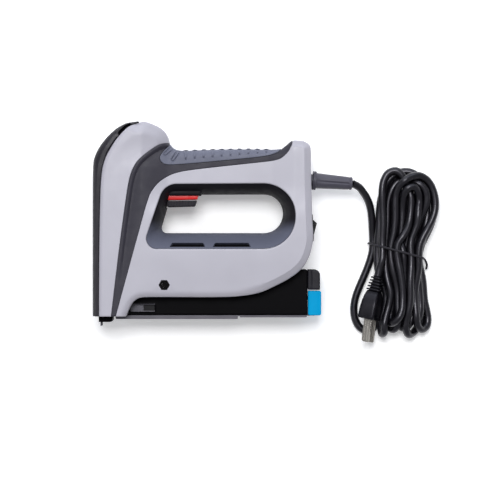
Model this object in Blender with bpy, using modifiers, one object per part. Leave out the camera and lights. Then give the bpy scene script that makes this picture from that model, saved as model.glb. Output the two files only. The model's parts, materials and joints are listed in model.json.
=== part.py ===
"""Corded electric stapler, lying on its right side. Sizes are in millimetres, and MM makes them metres.

Frame: +X runs from the nose to the cord, +Y from the staple exit to the grip, +Z through the thickness.
Every shape is drawn around the parting plane, where the height is 0, and stapler_parting_plane, an empty,
lifts that plane off the table."""

import math

import bmesh
import bpy
from mathutils import Matrix, Vector

MM = 0.001
GAP = 0.3
HALF = 0.15  # each housing half stops this far from the parting plane

# Housing
BODY_H = 24.0  # half the thickness of the body
HANDLE_H = 19.0  # half the thickness of the handle
REAR_H = 22.0  # half the thickness of the rear post beside the handle
WALL = 3.4
EDGE = 4.0
SKIN_SIDE = 1.2  # overmould on the silhouette
SKIN_TOP = 1.6  # overmould on the broad sides
ROOF = 4.0  # from the outer surface to the cavity
FOOT_Y = -71.8
FOOT_WALL = 2.6
HANDLE_Y = 18.0  # the handle zone lies above this line

# Outlines are corners (x, y, radius), counter-clockwise
BODY = [
    (-83.9, -79.0, 4.5), (-63.5, -79.0, 4.5), (-59.2, -57.5, 9), (30, -57.8, 60), (70, -39.5, 30),
    (83.8, -16.0, 22), (80.9, 22, 40), (80.9, 64.1, 7), (66.0, 64.1, 4.6), (59.5, 57.2, 8),
    (-24.5, 57.8, 6), (-32.5, 74.5, 5), (-46.5, 79.9, 7), (-56, 79.4, 8), (-75.6, 62.0, 20),
    (-82.8, 40, 40),
]
OVERMOULD = [
    (-73.9, -75.0, 0), (-70.8, -75.0, 0), (-53.9, -8.5, 90), (-45.0, 26.0, 14), (-34.0, 39.4, 14),
    (52.0, 49.4, 12), (66.4, 60.0, 5), (66.6, 70.0, 0), (-26.0, 70.0, 0), (-29.4, 62.7, 1),
    (-38.0, 61.8, 6), (-57.5, 47.0, 12), (-61.6, 30.4, 40),
]
GRIP_PANEL = [
    (-35.9, 51.5, 3), (-32.0, 46.1, 3), (-15.0, 46.6, 20), (45.0, 52.0, 20), (57.0, 55.6, 1.5),
    (54.0, 56.4, 1.0), (-19.0, 56.6, 6), (-28.0, 59.8, 2),
]
BUMPER = [
    (-88.8, -71.8, 2), (-80, -71.8, 0), (-78, 30, 0), (-60, 66, 0), (-48, 72, 0), (-50.2, 79.6, 0),
    (-64.5, 79.6, 16), (-80.5, 70.0, 18), (-88.8, 51.5, 28),
]
BUMPER_H = 22.0

# Finger opening: a funnel, narrowest at the parting plane
OPENING_NARROW = [(-36.6, -7.4, 4), (59.7, -7.4, 15), (59.7, 22.6, 15), (-27.8, 22.6, 3)]
OPENING_WIDE = [(-50.2, -20.2, 8), (70.3, -20.2, 26), (70.3, 33.1, 26), (-31.6, 33.1, 4)]
LINER = 2.2

# Magazine and nose
CHANNEL_H = 7.5
CHANNEL_T = 1.4
CHANNEL_Y = -71.0
WEB_Y = -50.0
MAGAZINE = [
    (-81.2, CHANNEL_Y, 0), (77.6, CHANNEL_Y, 0), (77.6, -35.6, 1.5), (71, -35.6, 1), (51, WEB_Y, 4),
    (-81.2, WEB_Y, 0),
]
NOSE_Y = -76.5
BLADE_X = -82.2
BLADE_T = 1.0
BLADE_H = 5.25
CROWN_Y = -63.0
CORE_H = 4.2
STAPLE_H = 5.3
STAPLE_TIP_Y = -79.6
RAIL_CORE_TOP_Y = -64.3
ROD_Y = -57.5

# Solenoid
SOLENOID_X = -64.0
COIL_R = 12.2
BORE_R = 7.2
PLUNGER_R = 6.5
PLUNGER_ROD_R = 2.5

# Joints' axes
TRIGGER_PIVOT = (-36.0, 27.0)
ROCKER_PIVOT = (79.5, -3.5)
LATCH_PIVOT = (81.8, -68.0)

# Fasteners
SCREWS = [(-46, 68), (73.5, 55), (67, -30), (-76.5, 40), (-54, -42), (16, 36.5)]
SCREW_R = 1.3
SCREW_HEAD_R = 2.8
SCREW_HEAD_H = 10.3
BOLT = (-32.4, -47.5)
NUT_ACROSS_FLATS = 7.0

# Cord
CORD_R = 3.0
TABLE = -BODY_H
BOOT_START = (73.2, 34.35, 0.0)
BOOT_AXIS = (0.9955, -0.0765, -0.055)
BOOT_LENGTH = 40.3
PLUG_FACE = (126.6, -74.8)
PLUG_TILT = math.radians(12)
PLUG_ROLL = math.radians(20)  # it leans to one side, so both blades show from above
PLUG_MID = TABLE + 14.3  # the plug rests on the lead
BLADE_SPACING = 12.7

for old in list(bpy.data.objects):
    bpy.data.objects.remove(old, do_unlink=True)
parts = bpy.data.collections.new("electric_stapler")
bpy.context.scene.collection.children.link(parts)


# ---------------------------------------------------------------- outlines


def rounded(corners, steps=3):
    """The points of a closed outline, with an arc at each corner that has a radius."""
    points = []
    for i, (x, y, radius) in enumerate(corners):
        here = Vector((x, y))
        back = Vector(corners[i - 1][:2]) - here
        ahead = Vector(corners[(i + 1) % len(corners)][:2]) - here
        half = back.angle(ahead) / 2
        reach = min(radius / math.tan(half), 0.49 * back.length, 0.49 * ahead.length)
        if reach < 0.05:
            points.append((x, y))
            continue
        radius = reach * math.tan(half)
        inward = (back.normalized() + ahead.normalized()).normalized()
        centre = here + inward * radius / math.sin(half)
        first = here + back.normalized() * reach - centre
        last = here + ahead.normalized() * reach - centre
        start = math.atan2(first.y, first.x)
        sweep = math.atan2(first.x * last.y - first.y * last.x, first.dot(last))
        for k in range(steps + 1):
            angle = start + sweep * k / steps
            points.append((centre.x + radius * math.cos(angle), centre.y + radius * math.sin(angle)))
    return points


def inset(corners, distance):
    """The outline moved inwards by a distance, or outwards by a negative one."""
    moved = []
    for i, (x, y, radius) in enumerate(corners):
        here = Vector((x, y))
        before = (here - Vector(corners[i - 1][:2])).normalized()
        after = (Vector(corners[(i + 1) % len(corners)][:2]) - here).normalized()
        normal_1 = Vector((-before.y, before.x))
        normal_2 = Vector((-after.y, after.x))
        shift = (normal_1 + normal_2) * distance / (1 + normal_1.dot(normal_2))
        outward_corner = before.x * after.y - before.y * after.x > 0
        new_radius = radius - distance if outward_corner else radius + distance
        moved.append((x + shift.x, y + shift.y, max(new_radius, 0.0)))
    return moved


def between(first, second, share):
    """The outline a share of the way from one outline to another with as many corners."""
    return [tuple(a + (b - a) * share for a, b in zip(c, d)) for c, d in zip(first, second)]


# ---------------------------------------------------------------- solids


def new_object(name, data):
    obj = bpy.data.objects.new(name, data)
    parts.objects.link(obj)
    return obj


def fixed(obj):
    """Replaces an object by a plain mesh in place: modifiers applied, caps welded, faces outwards."""
    bpy.context.view_layer.update()
    evaluated = obj.evaluated_get(bpy.context.evaluated_depsgraph_get())
    mesh = bpy.data.meshes.new_from_object(evaluated)
    mesh.transform(obj.matrix_world)
    name = obj.name
    bpy.data.objects.remove(obj)
    shape = bmesh.new()
    shape.from_mesh(mesh)
    bmesh.ops.remove_doubles(shape, verts=shape.verts, dist=2e-6)
    bmesh.ops.recalc_face_normals(shape, faces=shape.faces)
    shape.to_mesh(mesh)
    shape.free()
    return new_object(name, mesh)


def prism(name, corners, low, high, axis="Z", steps=3):
    """A straight-sided solid. Its outline lies in XY (axis Z), YZ (axis X) or XZ (axis Y)."""
    curve = bpy.data.curves.new(name, "CURVE")
    curve.dimensions = "2D"
    curve.fill_mode = "BOTH"
    curve.extrude = (high - low) / 2 * MM
    points = rounded(corners, steps)
    spline = curve.splines.new("POLY")
    spline.points.add(len(points) - 1)
    for point, (x, y) in zip(spline.points, points):
        point.co = (x * MM, y * MM, 0, 1)
    spline.use_cyclic_u = True
    obj = new_object(name, curve)
    middle = (low + high) / 2 * MM
    if axis == "X":
        obj.matrix_world = Matrix(((0, 0, 1, middle), (1, 0, 0, 0), (0, 1, 0, 0), (0, 0, 0, 1)))
    elif axis == "Y":
        obj.matrix_world = Matrix(((1, 0, 0, 0), (0, 0, -1, middle), (0, 1, 0, 0), (0, 0, 0, 1)))
    else:
        obj.matrix_world = Matrix.Translation((0, 0, middle))
    return fixed(obj)


def box(name, low, high):
    shape = bmesh.new()
    bmesh.ops.create_cube(shape, size=1.0)
    size = [(b - a) * MM for a, b in zip(low, high)]
    middle = [(a + b) / 2 * MM for a, b in zip(low, high)]
    bmesh.ops.scale(shape, vec=size, verts=shape.verts)
    bmesh.ops.translate(shape, vec=middle, verts=shape.verts)
    mesh = bpy.data.meshes.new(name)
    shape.to_mesh(mesh)
    shape.free()
    return new_object(name, mesh)


def rod(name, start, end, radius, sides=16):
    """A cylinder or, with six sides, a hexagon bar between two points."""
    start = Vector(start) * MM
    along = Vector(end) * MM - start
    shape = bmesh.new()
    bmesh.ops.create_cone(
        shape, cap_ends=True, segments=sides, radius1=radius * MM, radius2=radius * MM, depth=along.length
    )
    turn = Vector((0, 0, 1)).rotation_difference(along).to_matrix().to_4x4()
    shape.transform(Matrix.Translation(start + along / 2) @ turn)
    mesh = bpy.data.meshes.new(name)
    shape.to_mesh(mesh)
    shape.free()
    return new_object(name, mesh)


def turned(name, profile, start, direction, steps=20):
    """A turned solid. The profile is (radius, distance from start), listed from the far end back."""
    mesh = bpy.data.meshes.new(name)
    points = [(radius * MM, 0, distance * MM) for radius, distance in profile]
    closed = profile[0][0] > 0
    last = len(points)
    edges = [(i, i + 1) for i in range(last - 1)]
    if closed:
        edges.append((last - 1, 0))
    mesh.from_pydata(points, edges, [])
    obj = new_object(name, mesh)
    screw = obj.modifiers.new("screw", "SCREW")
    screw.axis = "Z"
    screw.steps = steps
    screw.render_steps = steps
    screw.use_merge_vertices = True
    screw.merge_threshold = 1e-5
    turn = Vector((0, 0, 1)).rotation_difference(Vector(direction)).to_matrix().to_4x4()
    obj.matrix_world = Matrix.Translation(Vector(start) * MM) @ turn
    return fixed(obj)


def loft(name, sections):
    """A solid through outlines of equal length. A section is (points, height)."""
    shape = bmesh.new()
    rings = []
    for points, height in sections:
        rings.append([shape.verts.new((x * MM, y * MM, height * MM)) for x, y in points])
    for low, high in zip(rings, rings[1:]):
        for i in range(len(low)):
            j = (i + 1) % len(low)
            shape.faces.new((low[i], low[j], high[j], high[i]))
    shape.faces.new(list(reversed(rings[0])))
    shape.faces.new(rings[-1])
    bmesh.ops.triangulate(shape, faces=shape.faces)
    mesh = bpy.data.meshes.new(name)
    shape.to_mesh(mesh)
    shape.free()
    return fixed(new_object(name, mesh))


def tube(name, points, radius, closed=False, resolution=2):
    """A wire or lead along points."""
    curve = bpy.data.curves.new(name, "CURVE")
    curve.dimensions = "3D"
    curve.bevel_depth = radius * MM
    curve.bevel_resolution = resolution
    curve.use_fill_caps = not closed
    spline = curve.splines.new("POLY")
    spline.points.add(len(points) - 1)
    for point, place in zip(spline.points, points):
        point.co = (*(value * MM for value in place), 1)
    spline.use_cyclic_u = closed
    return new_object(name, curve)


def smooth_route(knots, spacing):
    """Points every spacing along a smooth curve through the knots."""
    knots = [Vector(knot) for knot in knots]
    ends = [2 * knots[0] - knots[1], *knots, 2 * knots[-1] - knots[-2]]
    fine = []
    for a, b, c, d in zip(ends, ends[1:], ends[2:], ends[3:]):
        for k in range(20):
            t = k / 20
            fine.append(
                b + (c - a) * t / 2 + (2 * a - 5 * b + 4 * c - d) * t * t / 2
                + (3 * b - a - 3 * c + d) * t**3 / 2
            )
    fine.append(knots[-1])
    length = sum((q - p).length for p, q in zip(fine, fine[1:]))
    count = max(2, round(length / spacing))
    route, gone, wanted = [fine[0]], 0.0, length / count
    for p, q in zip(fine, fine[1:]):
        step = (q - p).length
        while gone + step >= wanted and len(route) < count:
            route.append(p.lerp(q, (wanted - gone) / step))
            wanted += length / count
        gone += step
    route.append(fine[-1])
    return route


def coil_spring(name, start, end, radius, wire, turns):
    """A compression spring between two points."""
    start = Vector(start)
    along = Vector(end) - start
    across = along.orthogonal().normalized()
    other = along.normalized().cross(across)
    steps = turns * 8
    points = []
    for k in range(steps + 1):
        angle = math.tau * k / 8
        outward = across * math.cos(angle) + other * math.sin(angle)
        points.append(start + along * k / steps + radius * outward)
    return tube(name, points, wire)


def combine(target, other, operation="DIFFERENCE"):
    """Applies a Boolean and removes the second solid."""
    cut = target.modifiers.new("cut", "BOOLEAN")
    cut.operation = operation
    cut.solver = "EXACT"
    cut.object = other
    result = fixed(target)
    bpy.data.objects.remove(other)
    return result


def bevelled(obj, width, segments=2, angle=50):
    bevel = obj.modifiers.new("bevel", "BEVEL")
    bevel.width = width * MM
    bevel.segments = segments
    bevel.limit_method = "ANGLE"
    bevel.angle_limit = math.radians(angle)
    bevel.use_clamp_overlap = True
    return fixed(obj)


def turned_over(obj):
    """Mirrors a solid of the upper half into the lower half."""
    shape = bmesh.new()
    shape.from_mesh(obj.data)
    bmesh.ops.scale(shape, vec=(1, 1, -1), verts=shape.verts)
    bmesh.ops.reverse_faces(shape, faces=shape.faces)
    shape.to_mesh(obj.data)
    shape.free()
    return obj


def material(name, colour, roughness, metallic=0.0):
    made = bpy.data.materials.new(name)
    made.use_nodes = True
    shader = made.node_tree.nodes["Principled BSDF"]
    shader.inputs["Base Color"].default_value = (*colour, 1)
    shader.inputs["Roughness"].default_value = roughness
    shader.inputs["Metallic"].default_value = metallic
    return made


SHELL_GREY = material("shell_grey", (0.52, 0.51, 0.56), 0.45)
OVERMOULD_GREY = material("overmould_grey", (0.075, 0.07, 0.09), 0.65)
BUMPER_DARK = material("bumper_dark", (0.035, 0.035, 0.045), 0.55)
LINER_DARK = material("liner_dark", (0.045, 0.043, 0.055), 0.5)
STEEL_BLACK = material("steel_black", (0.012, 0.011, 0.013), 0.35, 0.6)
STEEL = material("steel", (0.45, 0.45, 0.46), 0.35, 1.0)
COPPER = material("copper", (0.6, 0.25, 0.12), 0.35, 1.0)
NYLON = material("nylon", (0.7, 0.68, 0.6), 0.5)
RED = material("red", (0.68, 0.03, 0.03), 0.4)
BLUE = material("blue", (0.0, 0.35, 0.75), 0.35)
BLACK_PLASTIC = material("black_plastic", (0.015, 0.015, 0.018), 0.45)
BOARD_GREEN = material("board_green", (0.03, 0.18, 0.07), 0.5)
CORD_BLACK = material("cord_black", (0.01, 0.01, 0.013), 0.35)
NICKEL = material("nickel", (0.55, 0.54, 0.5), 0.3, 1.0)
RUBBER = material("rubber", (0.02, 0.02, 0.02), 0.8)


def finish(obj, name, look, origin=None):
    """Names a finished sub-part, gives it its material, and puts its origin on its joint's axis."""
    obj.name = name
    obj.data.name = name
    obj.data.materials.clear()
    obj.data.materials.append(look)
    if origin:
        place = Vector((*origin, 0)[:3]) * MM
        obj.data.transform(Matrix.Translation(-place))
        obj.location = place
    obj.parent = parting_plane
    return obj


parting_plane = new_object("stapler_parting_plane", None)


# ---------------------------------------------------------------- housing


def above_handle(drop):
    """Everything outside the handle's side surface, lowered by a drop."""
    corners = [
        (-51.6, BODY_H + 1 - drop, 0), (-30, HANDLE_H - drop, 0), (52, HANDLE_H - drop, 0),
        (66, REAR_H - drop, 0), (95, REAR_H - drop, 0), (95, 60, 0), (-51.6, 60, 0),
    ]
    return prism("above_handle", corners, HANDLE_Y, 95, axis="Y")


def funnel(offset, low, high):
    """The finger opening between two heights, with its wall moved outwards by an offset."""
    sections = []
    for height in (low, high):
        corners = between(OPENING_NARROW, OPENING_WIDE, height / BODY_H)
        sections.append((rounded([(x, y, r) for x, y, r in inset(corners, -offset)], 4), height))
    return loft("funnel", sections)


def body_half():
    """The solid upper half of the body, with rounded outer edges and the thinner handle."""
    body = bevelled(prism("body", BODY, -BODY_H, BODY_H), EDGE)
    body = combine(body, box("below", (-120, -120, -60), (120, 120, HALF)))
    body = combine(body, box("foot", (-120, -120, -60), (120, FOOT_Y, 60)))
    return combine(body, above_handle(0))


def core(side, top):
    """The body without a skin of the given thickness on its silhouette and on its broad side."""
    inner = prism("core", inset(BODY, side), -1, BODY_H - top)
    return combine(inner, above_handle(top))


def roof_height(x, y):
    """Height inside the roof's material, where a boss may end."""
    if y < HANDLE_Y or x < -48:
        return BODY_H - ROOF + 1
    if x < -30:
        return HANDLE_H + (BODY_H - HANDLE_H) * (-30 - x) / 18 - ROOF + 1
    return HANDLE_H - ROOF + 1


def channel_clearance():
    """Room for the magazine, the nose and the driver blade between the housing halves."""
    corners = [
        (-95, -85, 0), (95, -85, 0), (95, -35, 0), (70.6, -35, 0), (50.6, -49.3, 0), (-59, -49.3, 0),
        (-59, -14, 0), (-95, -14, 0),
    ]
    return prism("channel_clearance", corners, -CHANNEL_H - 0.4, CHANNEL_H + 0.4)


def shell_half(lower):
    shell = body_half()
    cavity = prism("cavity", inset(BODY, WALL), -1, BODY_H - ROOF)
    cavity = combine(cavity, above_handle(ROOF))
    cavity = combine(cavity, box("foot_wall", (-120, -120, -60), (120, FOOT_Y + FOOT_WALL, 60)))
    shell = combine(shell, cavity)
    for x, y in [*SCREWS, BOLT]:
        radius = 6.2 if (x, y) == BOLT else 4.1
        boss = rod("boss", (x, y, HALF), (x, y, roof_height(x, y)), radius, 12)
        shell = combine(shell, boss, "UNION")
    shell = combine(shell, channel_clearance())
    recess = prism("recess", inset(OVERMOULD, -GAP), -1, 40)
    recess = combine(recess, core(SKIN_SIDE + GAP, SKIN_TOP + GAP))
    shell = combine(shell, recess)
    shell = combine(shell, funnel(LINER + GAP, -1, BODY_H + 1))
    for x, y in SCREWS:
        shell = combine(shell, rod("pilot", (x, y, -1), (x, y, 10.0), SCREW_R + GAP, 10))
        if lower:
            shell = combine(shell, rod("head", (x, y, 9.9), (x, y, 40), SCREW_HEAD_R + GAP, 12))
    shell = combine(shell, rod("bolt_hole", (*BOLT, -1), (*BOLT, 40), 2.2, 12))
    if lower:
        shell = combine(shell, rod("bolt_head", (*BOLT, 19.6), (*BOLT, 40), 4.0, 12))
    else:
        corner_r = (NUT_ACROSS_FLATS / 2 + GAP) / math.cos(math.pi / 6)
        shell = combine(shell, rod("nut_pocket", (*BOLT, 19.5), (*BOLT, 40), corner_r, 6))
    x, y = ROCKER_PIVOT
    shell = combine(shell, box("rocker_window", (75, y - 9.9, -6.9), (95, y + 9.9, 6.9)))
    boot_axis = Vector(BOOT_AXIS)
    if lower:
        boot_axis.z *= -1
    boot_low = Vector(BOOT_START) + 2.5 * boot_axis
    boot_high = Vector(BOOT_START) + 14 * boot_axis
    shell = combine(shell, rod("boot_hole", boot_low, boot_high, 5.4, 20))
    if lower:
        return finish(turned_over(shell), "lower_shell", SHELL_GREY)
    return finish(shell, "upper_shell", SHELL_GREY)


def overmould_half(lower):
    skin = prism("skin", OVERMOULD, -1, 40)
    skin = combine(skin, body_half(), "INTERSECT")
    skin = combine(skin, core(SKIN_SIDE, SKIN_TOP))
    pocket = prism("pocket", inset(GRIP_PANEL, -GAP), HANDLE_H - 0.8, 40)
    ramp = above_handle(0.8)
    skin = combine(skin, combine(pocket, ramp, "INTERSECT"))
    name = "lower_overmould" if lower else "upper_overmould"
    return finish(turned_over(skin) if lower else skin, name, OVERMOULD_GREY)


def grip_pad(lower):
    pad = prism("pad", GRIP_PANEL, HANDLE_H - 5, 40)
    pad = combine(pad, above_handle(0.5), "INTERSECT")
    pad = combine(pad, above_handle(-0.7))
    name = "lower_grip_pad" if lower else "upper_grip_pad"
    return finish(turned_over(pad) if lower else pad, name, RUBBER)


def liner_half(lower):
    liner = funnel(LINER, HALF, BODY_H)
    liner = combine(liner, funnel(0, -1, BODY_H + 1))
    liner = combine(liner, above_handle(0))
    liner = combine(liner, box("trigger_slot", (-32.1, 10.6, -7.6), (-5.4, 45, 7.6)))
    liner = combine(liner, box("lug_slot", (-41, 20.3, -4.6), (-31, 46, 4.6)))
    for left, right in ((-28.6, -1.5), (5.0, 34.1)):
        liner = combine(liner, box("vent", (left, -30, 16.2), (right, -10, 22.6)))
    name = "lower_liner" if lower else "upper_liner"
    return finish(turned_over(liner) if lower else liner, name, LINER_DARK)


def bumper():
    """The dark strip over the front and the top of the head."""
    strip = bevelled(prism("strip", BUMPER, -BUMPER_H, BUMPER_H), 2.0)
    strip = combine(strip, prism("body", inset(BODY, -GAP), -60, 60))
    strip = combine(strip, box("nose_room", (-84.2, -90, -CHANNEL_H - 0.4), (-60, -14, CHANNEL_H + 0.4)))
    return finish(strip, "front_bumper", BUMPER_DARK)


for is_lower in (False, True):
    shell_half(is_lower)
    overmould_half(is_lower)
    grip_pad(is_lower)
    liner_half(is_lower)
bumper()


# ---------------------------------------------------------------- fasteners


def housing_screw(number, x, y):
    """A self-tapping screw from the lower side into the upper boss."""
    profile = [
        (0, 9.0), (SCREW_R, 9.0), (SCREW_R, -SCREW_HEAD_H), (SCREW_HEAD_R, -SCREW_HEAD_H),
        (SCREW_HEAD_R, -SCREW_HEAD_H - 2.2), (0, -SCREW_HEAD_H - 2.2),
    ]
    screw = turned("screw", profile, (x, y, 0), (0, 0, 1), 10)
    finish(screw, f"housing_screw_{number}", STEEL)


def through_bolt():
    profile = [(0, 22.6), (1.9, 22.6), (1.9, -19.9), (3.6, -19.9), (3.6, -22.6), (0, -22.6)]
    finish(turned("bolt", profile, (*BOLT, 0), (0, 0, 1), 16), "through_bolt", STEEL_BLACK)
    nut = rod("nut", (*BOLT, 19.8), (*BOLT, 23.2), NUT_ACROSS_FLATS / 2 / math.cos(math.pi / 6), 6)
    nut = combine(nut, rod("thread", (*BOLT, 10), (*BOLT, 30), 2.1))
    finish(nut, "hex_nut", STEEL_BLACK)


for index, (screw_x, screw_y) in enumerate(SCREWS, 1):
    housing_screw(index, screw_x, screw_y)
through_bolt()


# ---------------------------------------------------------------- magazine and nose


def magazine_body():
    """A steel channel, open downwards and at both ends."""
    body = prism("channel", MAGAZINE, -CHANNEL_H, CHANNEL_H)
    hollow = [
        (-95, -85, 0), (95, -85, 0), (95, -52.6, 0), (76, -52.6, 0), (76, -37.1, 0), (71.5, -37.1, 0),
        (51.4, WEB_Y - CHANNEL_T, 0), (-95, WEB_Y - CHANNEL_T, 0),
    ]
    inner = CHANNEL_H - CHANNEL_T
    body = combine(body, prism("hollow", hollow, -inner, inner))
    body = combine(body, box("window", (-59.4, -67.7, -20), (-40.6, -63.0, 20)))
    finish(body, "magazine_body", STEEL_BLACK)


def magazine_end_cap():
    corners = [(78.3, -51.5, 0.8), (87.9, -51.5, 0.8), (87.9, -36.8, 5), (78.3, -36.8, 0.8)]
    cap = bevelled(prism("cap", corners, -8.5, 8.5), 1.0)
    finish(cap, "magazine_end_cap", BLACK_PLASTIC)


def nose_guide():
    """The front plate and the block with the drive channel, where the staples leave."""
    front, back = BLADE_X - 1.7, BLADE_X - 0.7
    plate = box("plate", (front, NOSE_Y, -7.2), (back, -20, 7.2))
    corners = [(front, NOSE_Y, 0.5), (-73.1, NOSE_Y, 2.5), (-73.1, -72.3, 0.4), (front, -72.3, 0.4)]
    nose = combine(plate, prism("block", corners, -CHANNEL_H, CHANNEL_H), "UNION")
    nose = combine(nose, box("drive_channel", (back, -90, -5.6), (BLADE_X + 0.7, -60, 5.6)))
    finish(nose, "nose_guide", STEEL_BLACK)


def staple_section(low_y, top_y, crown):
    """Half of a staple's front view in YZ, drawn whole: legs down to low_y, crown up to top_y."""
    inner = STAPLE_H - 0.6
    return [
        (low_y, -STAPLE_H, 0), (top_y, -STAPLE_H, 0.5), (top_y, STAPLE_H, 0.5), (low_y, STAPLE_H, 0),
        (low_y, inner, 0), (top_y - crown, inner, 0), (top_y - crown, -inner, 0), (low_y, -inner, 0),
    ]


def staples():
    strip = prism("strip", staple_section(-70.8, CROWN_Y, 0.9), -81.2, -49.4, axis="X", steps=2)
    finish(strip, "staple_strip", STEEL)
    section = staple_section(STAPLE_TIP_Y, -69.2, 0.9)
    single = prism("single", section, BLADE_X - 0.5, BLADE_X + 0.5, axis="X", steps=2)
    finish(single, "fired_staple", STEEL, (BLADE_X, -69.2, 0))


def magazine_rail():
    """The tray that slides out backwards: bottom strip, core for the staples, rear plate and latch lug."""
    strip = [
        (-70.8, -74.2, 0.8), (24.0, -74.2, 0.4), (24.0, -72.1, 0), (25.7, -72.1, 0), (25.7, -72.9, 0),
        (77.6, -72.9, 0.5), (77.6, -71.3, 0), (-70.8, -71.3, 0),
    ]
    rail = prism("strip", strip, -CHANNEL_H, CHANNEL_H)
    core_box = box("core", (-81.0, -71.7, -CORE_H), (74.0, RAIL_CORE_TOP_Y, CORE_H))
    core_front = box("core_front", (-95, -80, -20), (-71.2, -71.4, 20))
    rail = combine(rail, combine(core_box, core_front), "UNION")
    rail = combine(rail, box("rear_plate", (73.0, -71.8, -5.7), (77.6, -54.0, 5.7)), "UNION")
    lug = [(77.0, -71.7, 0), (84.6, -71.7, 1.5), (85.2, -65.0, 1.5), (77.0, -65.0, 0)]
    rail = combine(rail, prism("lug", lug, -3.5, 3.5), "UNION")
    rail = combine(rail, rod("pin_hole", (*LATCH_PIVOT, -10), (*LATCH_PIVOT, 10), 1.35))
    finish(rail, "magazine_rail", STEEL_BLACK)


def follower():
    """The saddle that pushes the staples forwards, with its guide rod and spring."""
    back, front = -38.0, -49.1
    outline = [(-70.8, -5.7, 0), (-70.8, 5.7, 0), (-54.0, 5.7, 1.5), (-54.0, -5.7, 1.5)]
    outline.reverse()
    saddle = prism("saddle", outline, front, back, axis="X")
    room = CORE_H + GAP
    saddle = combine(saddle, box("core_room", (-60, -80, -room), (0, RAIL_CORE_TOP_Y + GAP, room)))
    saddle = combine(saddle, rod("rod_hole", (-60, ROD_Y, 0), (-20, ROD_Y, 0), 1.55))
    finish(saddle, "follower", BLACK_PLASTIC, (back, ROD_Y, 0))
    finish(rod("guide", (-52.0, ROD_Y, 0), (72.7, ROD_Y, 0), 1.2, 12), "guide_rod", STEEL)
    spring = coil_spring("spring", (back + 0.8, ROD_Y, 0), (72.2, ROD_Y, 0), 2.3, 0.4, 8)
    finish(spring, "follower_spring", STEEL)


def latch():
    """The coloured lever at the rear end of the rail."""
    corners = [(78.6, -71.4, 2.2), (88.8, -71.4, 2.0), (88.8, -52.4, 2.0), (78.6, -52.4, 1.0)]
    lever = bevelled(prism("lever", corners, -8.0, 8.0), 0.8)
    lever = combine(lever, box("lug_room", (70, -80, -3.9), (86.0, -64.4, 3.9)))
    lever = combine(lever, box("spring_pocket", (70, -61.0, -3.0), (85.5, -55.0, 3.0)))
    lever = combine(lever, rod("pin_hole", (*LATCH_PIVOT, -10), (*LATCH_PIVOT, 10), 1.35))
    finish(lever, "latch", BLUE, LATCH_PIVOT)
    finish(rod("pin", (*LATCH_PIVOT, -7.4), (*LATCH_PIVOT, 7.4), 1.25), "latch_pin", STEEL)
    spring = coil_spring("spring", (78.2, -58.0, 0), (85.0, -58.0, 0), 1.9, 0.35, 4)
    finish(spring, "latch_spring", STEEL)


magazine_body()
magazine_end_cap()
nose_guide()
staples()
magazine_rail()
follower()
latch()


# ---------------------------------------------------------------- solenoid and driver


def solenoid():
    """Iron frame, bobbin and winding around the bore that the plunger moves in."""
    frame_section = [
        (-11.3, -15.8, 1), (35.3, -15.8, 1), (35.3, 13.0, 0), (32.3, 13.0, 0), (32.3, -13.8, 0),
        (-8.3, -13.8, 0), (-8.3, 13.0, 0), (-11.3, 13.0, 0),
    ]
    frame = prism("frame", frame_section, SOLENOID_X - 12.2, SOLENOID_X + 12.4, axis="X", steps=2)
    frame = combine(frame, rod("top", (SOLENOID_X, 31, 0), (SOLENOID_X, 40, 0), BORE_R, 24))
    frame = combine(frame, rod("bottom", (SOLENOID_X, -20, 0), (SOLENOID_X, -5, 0), 3.2, 20))
    finish(frame, "solenoid_frame", STEEL)
    spool = [
        (12.4, 40.0), (12.4, 38.5), (8.2, 38.5), (8.2, 1.5), (12.4, 1.5), (12.4, 0.0), (BORE_R, 0.0),
        (BORE_R, 40.0),
    ]
    finish(turned("spool", spool, (SOLENOID_X, -8.0, 0), (0, 1, 0), 24), "bobbin", NYLON)
    winding = [(COIL_R, 38.2), (COIL_R, 1.8), (8.5, 1.8), (8.5, 38.2)]
    finish(turned("winding", winding, (SOLENOID_X, -8.0, 0), (0, 1, 0), 24), "coil", COPPER)
    ring = [(6.4, 8.0), (6.4, 0.0), (3.4, 0.0), (3.4, 8.0)]
    finish(turned("ring", ring, (SOLENOID_X, -19.7, 0), (0, 1, 0), 20), "plunger_bumper", RUBBER)


def driver():
    """Plunger with its rod and head, the carrier with the blade, and the return spring."""
    start = (SOLENOID_X, -20.0, 0)
    profile = [
        (0, 78.0), (7.6, 78.0), (8.0, 77.4), (8.0, 75.5), (PLUNGER_R, 75.5), (PLUNGER_R, 34.0),
        (PLUNGER_ROD_R, 32.0), (PLUNGER_ROD_R, 0), (0, 0),
    ]
    finish(turned("plunger", profile, start, (0, 1, 0), 20), "plunger", STEEL, start)
    front, back = BLADE_X - BLADE_T / 2, BLADE_X + BLADE_T / 2
    blade = box("blade", (front, -62.4, -BLADE_H), (back, -20.3, BLADE_H))
    carrier = box("carrier", (front + 0.2, -26.0, -4.0), (SOLENOID_X + 4, -20.3, 4.0))
    finish(combine(blade, carrier, "UNION"), "driver_blade", STEEL, (BLADE_X, -62.4, 0))
    spring = coil_spring("spring", (SOLENOID_X, 36.4, 0), (SOLENOID_X, 54.6, 0), 7.8, 0.5, 5)
    finish(spring, "return_spring", STEEL)


solenoid()
driver()


# ---------------------------------------------------------------- trigger and switches


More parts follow.
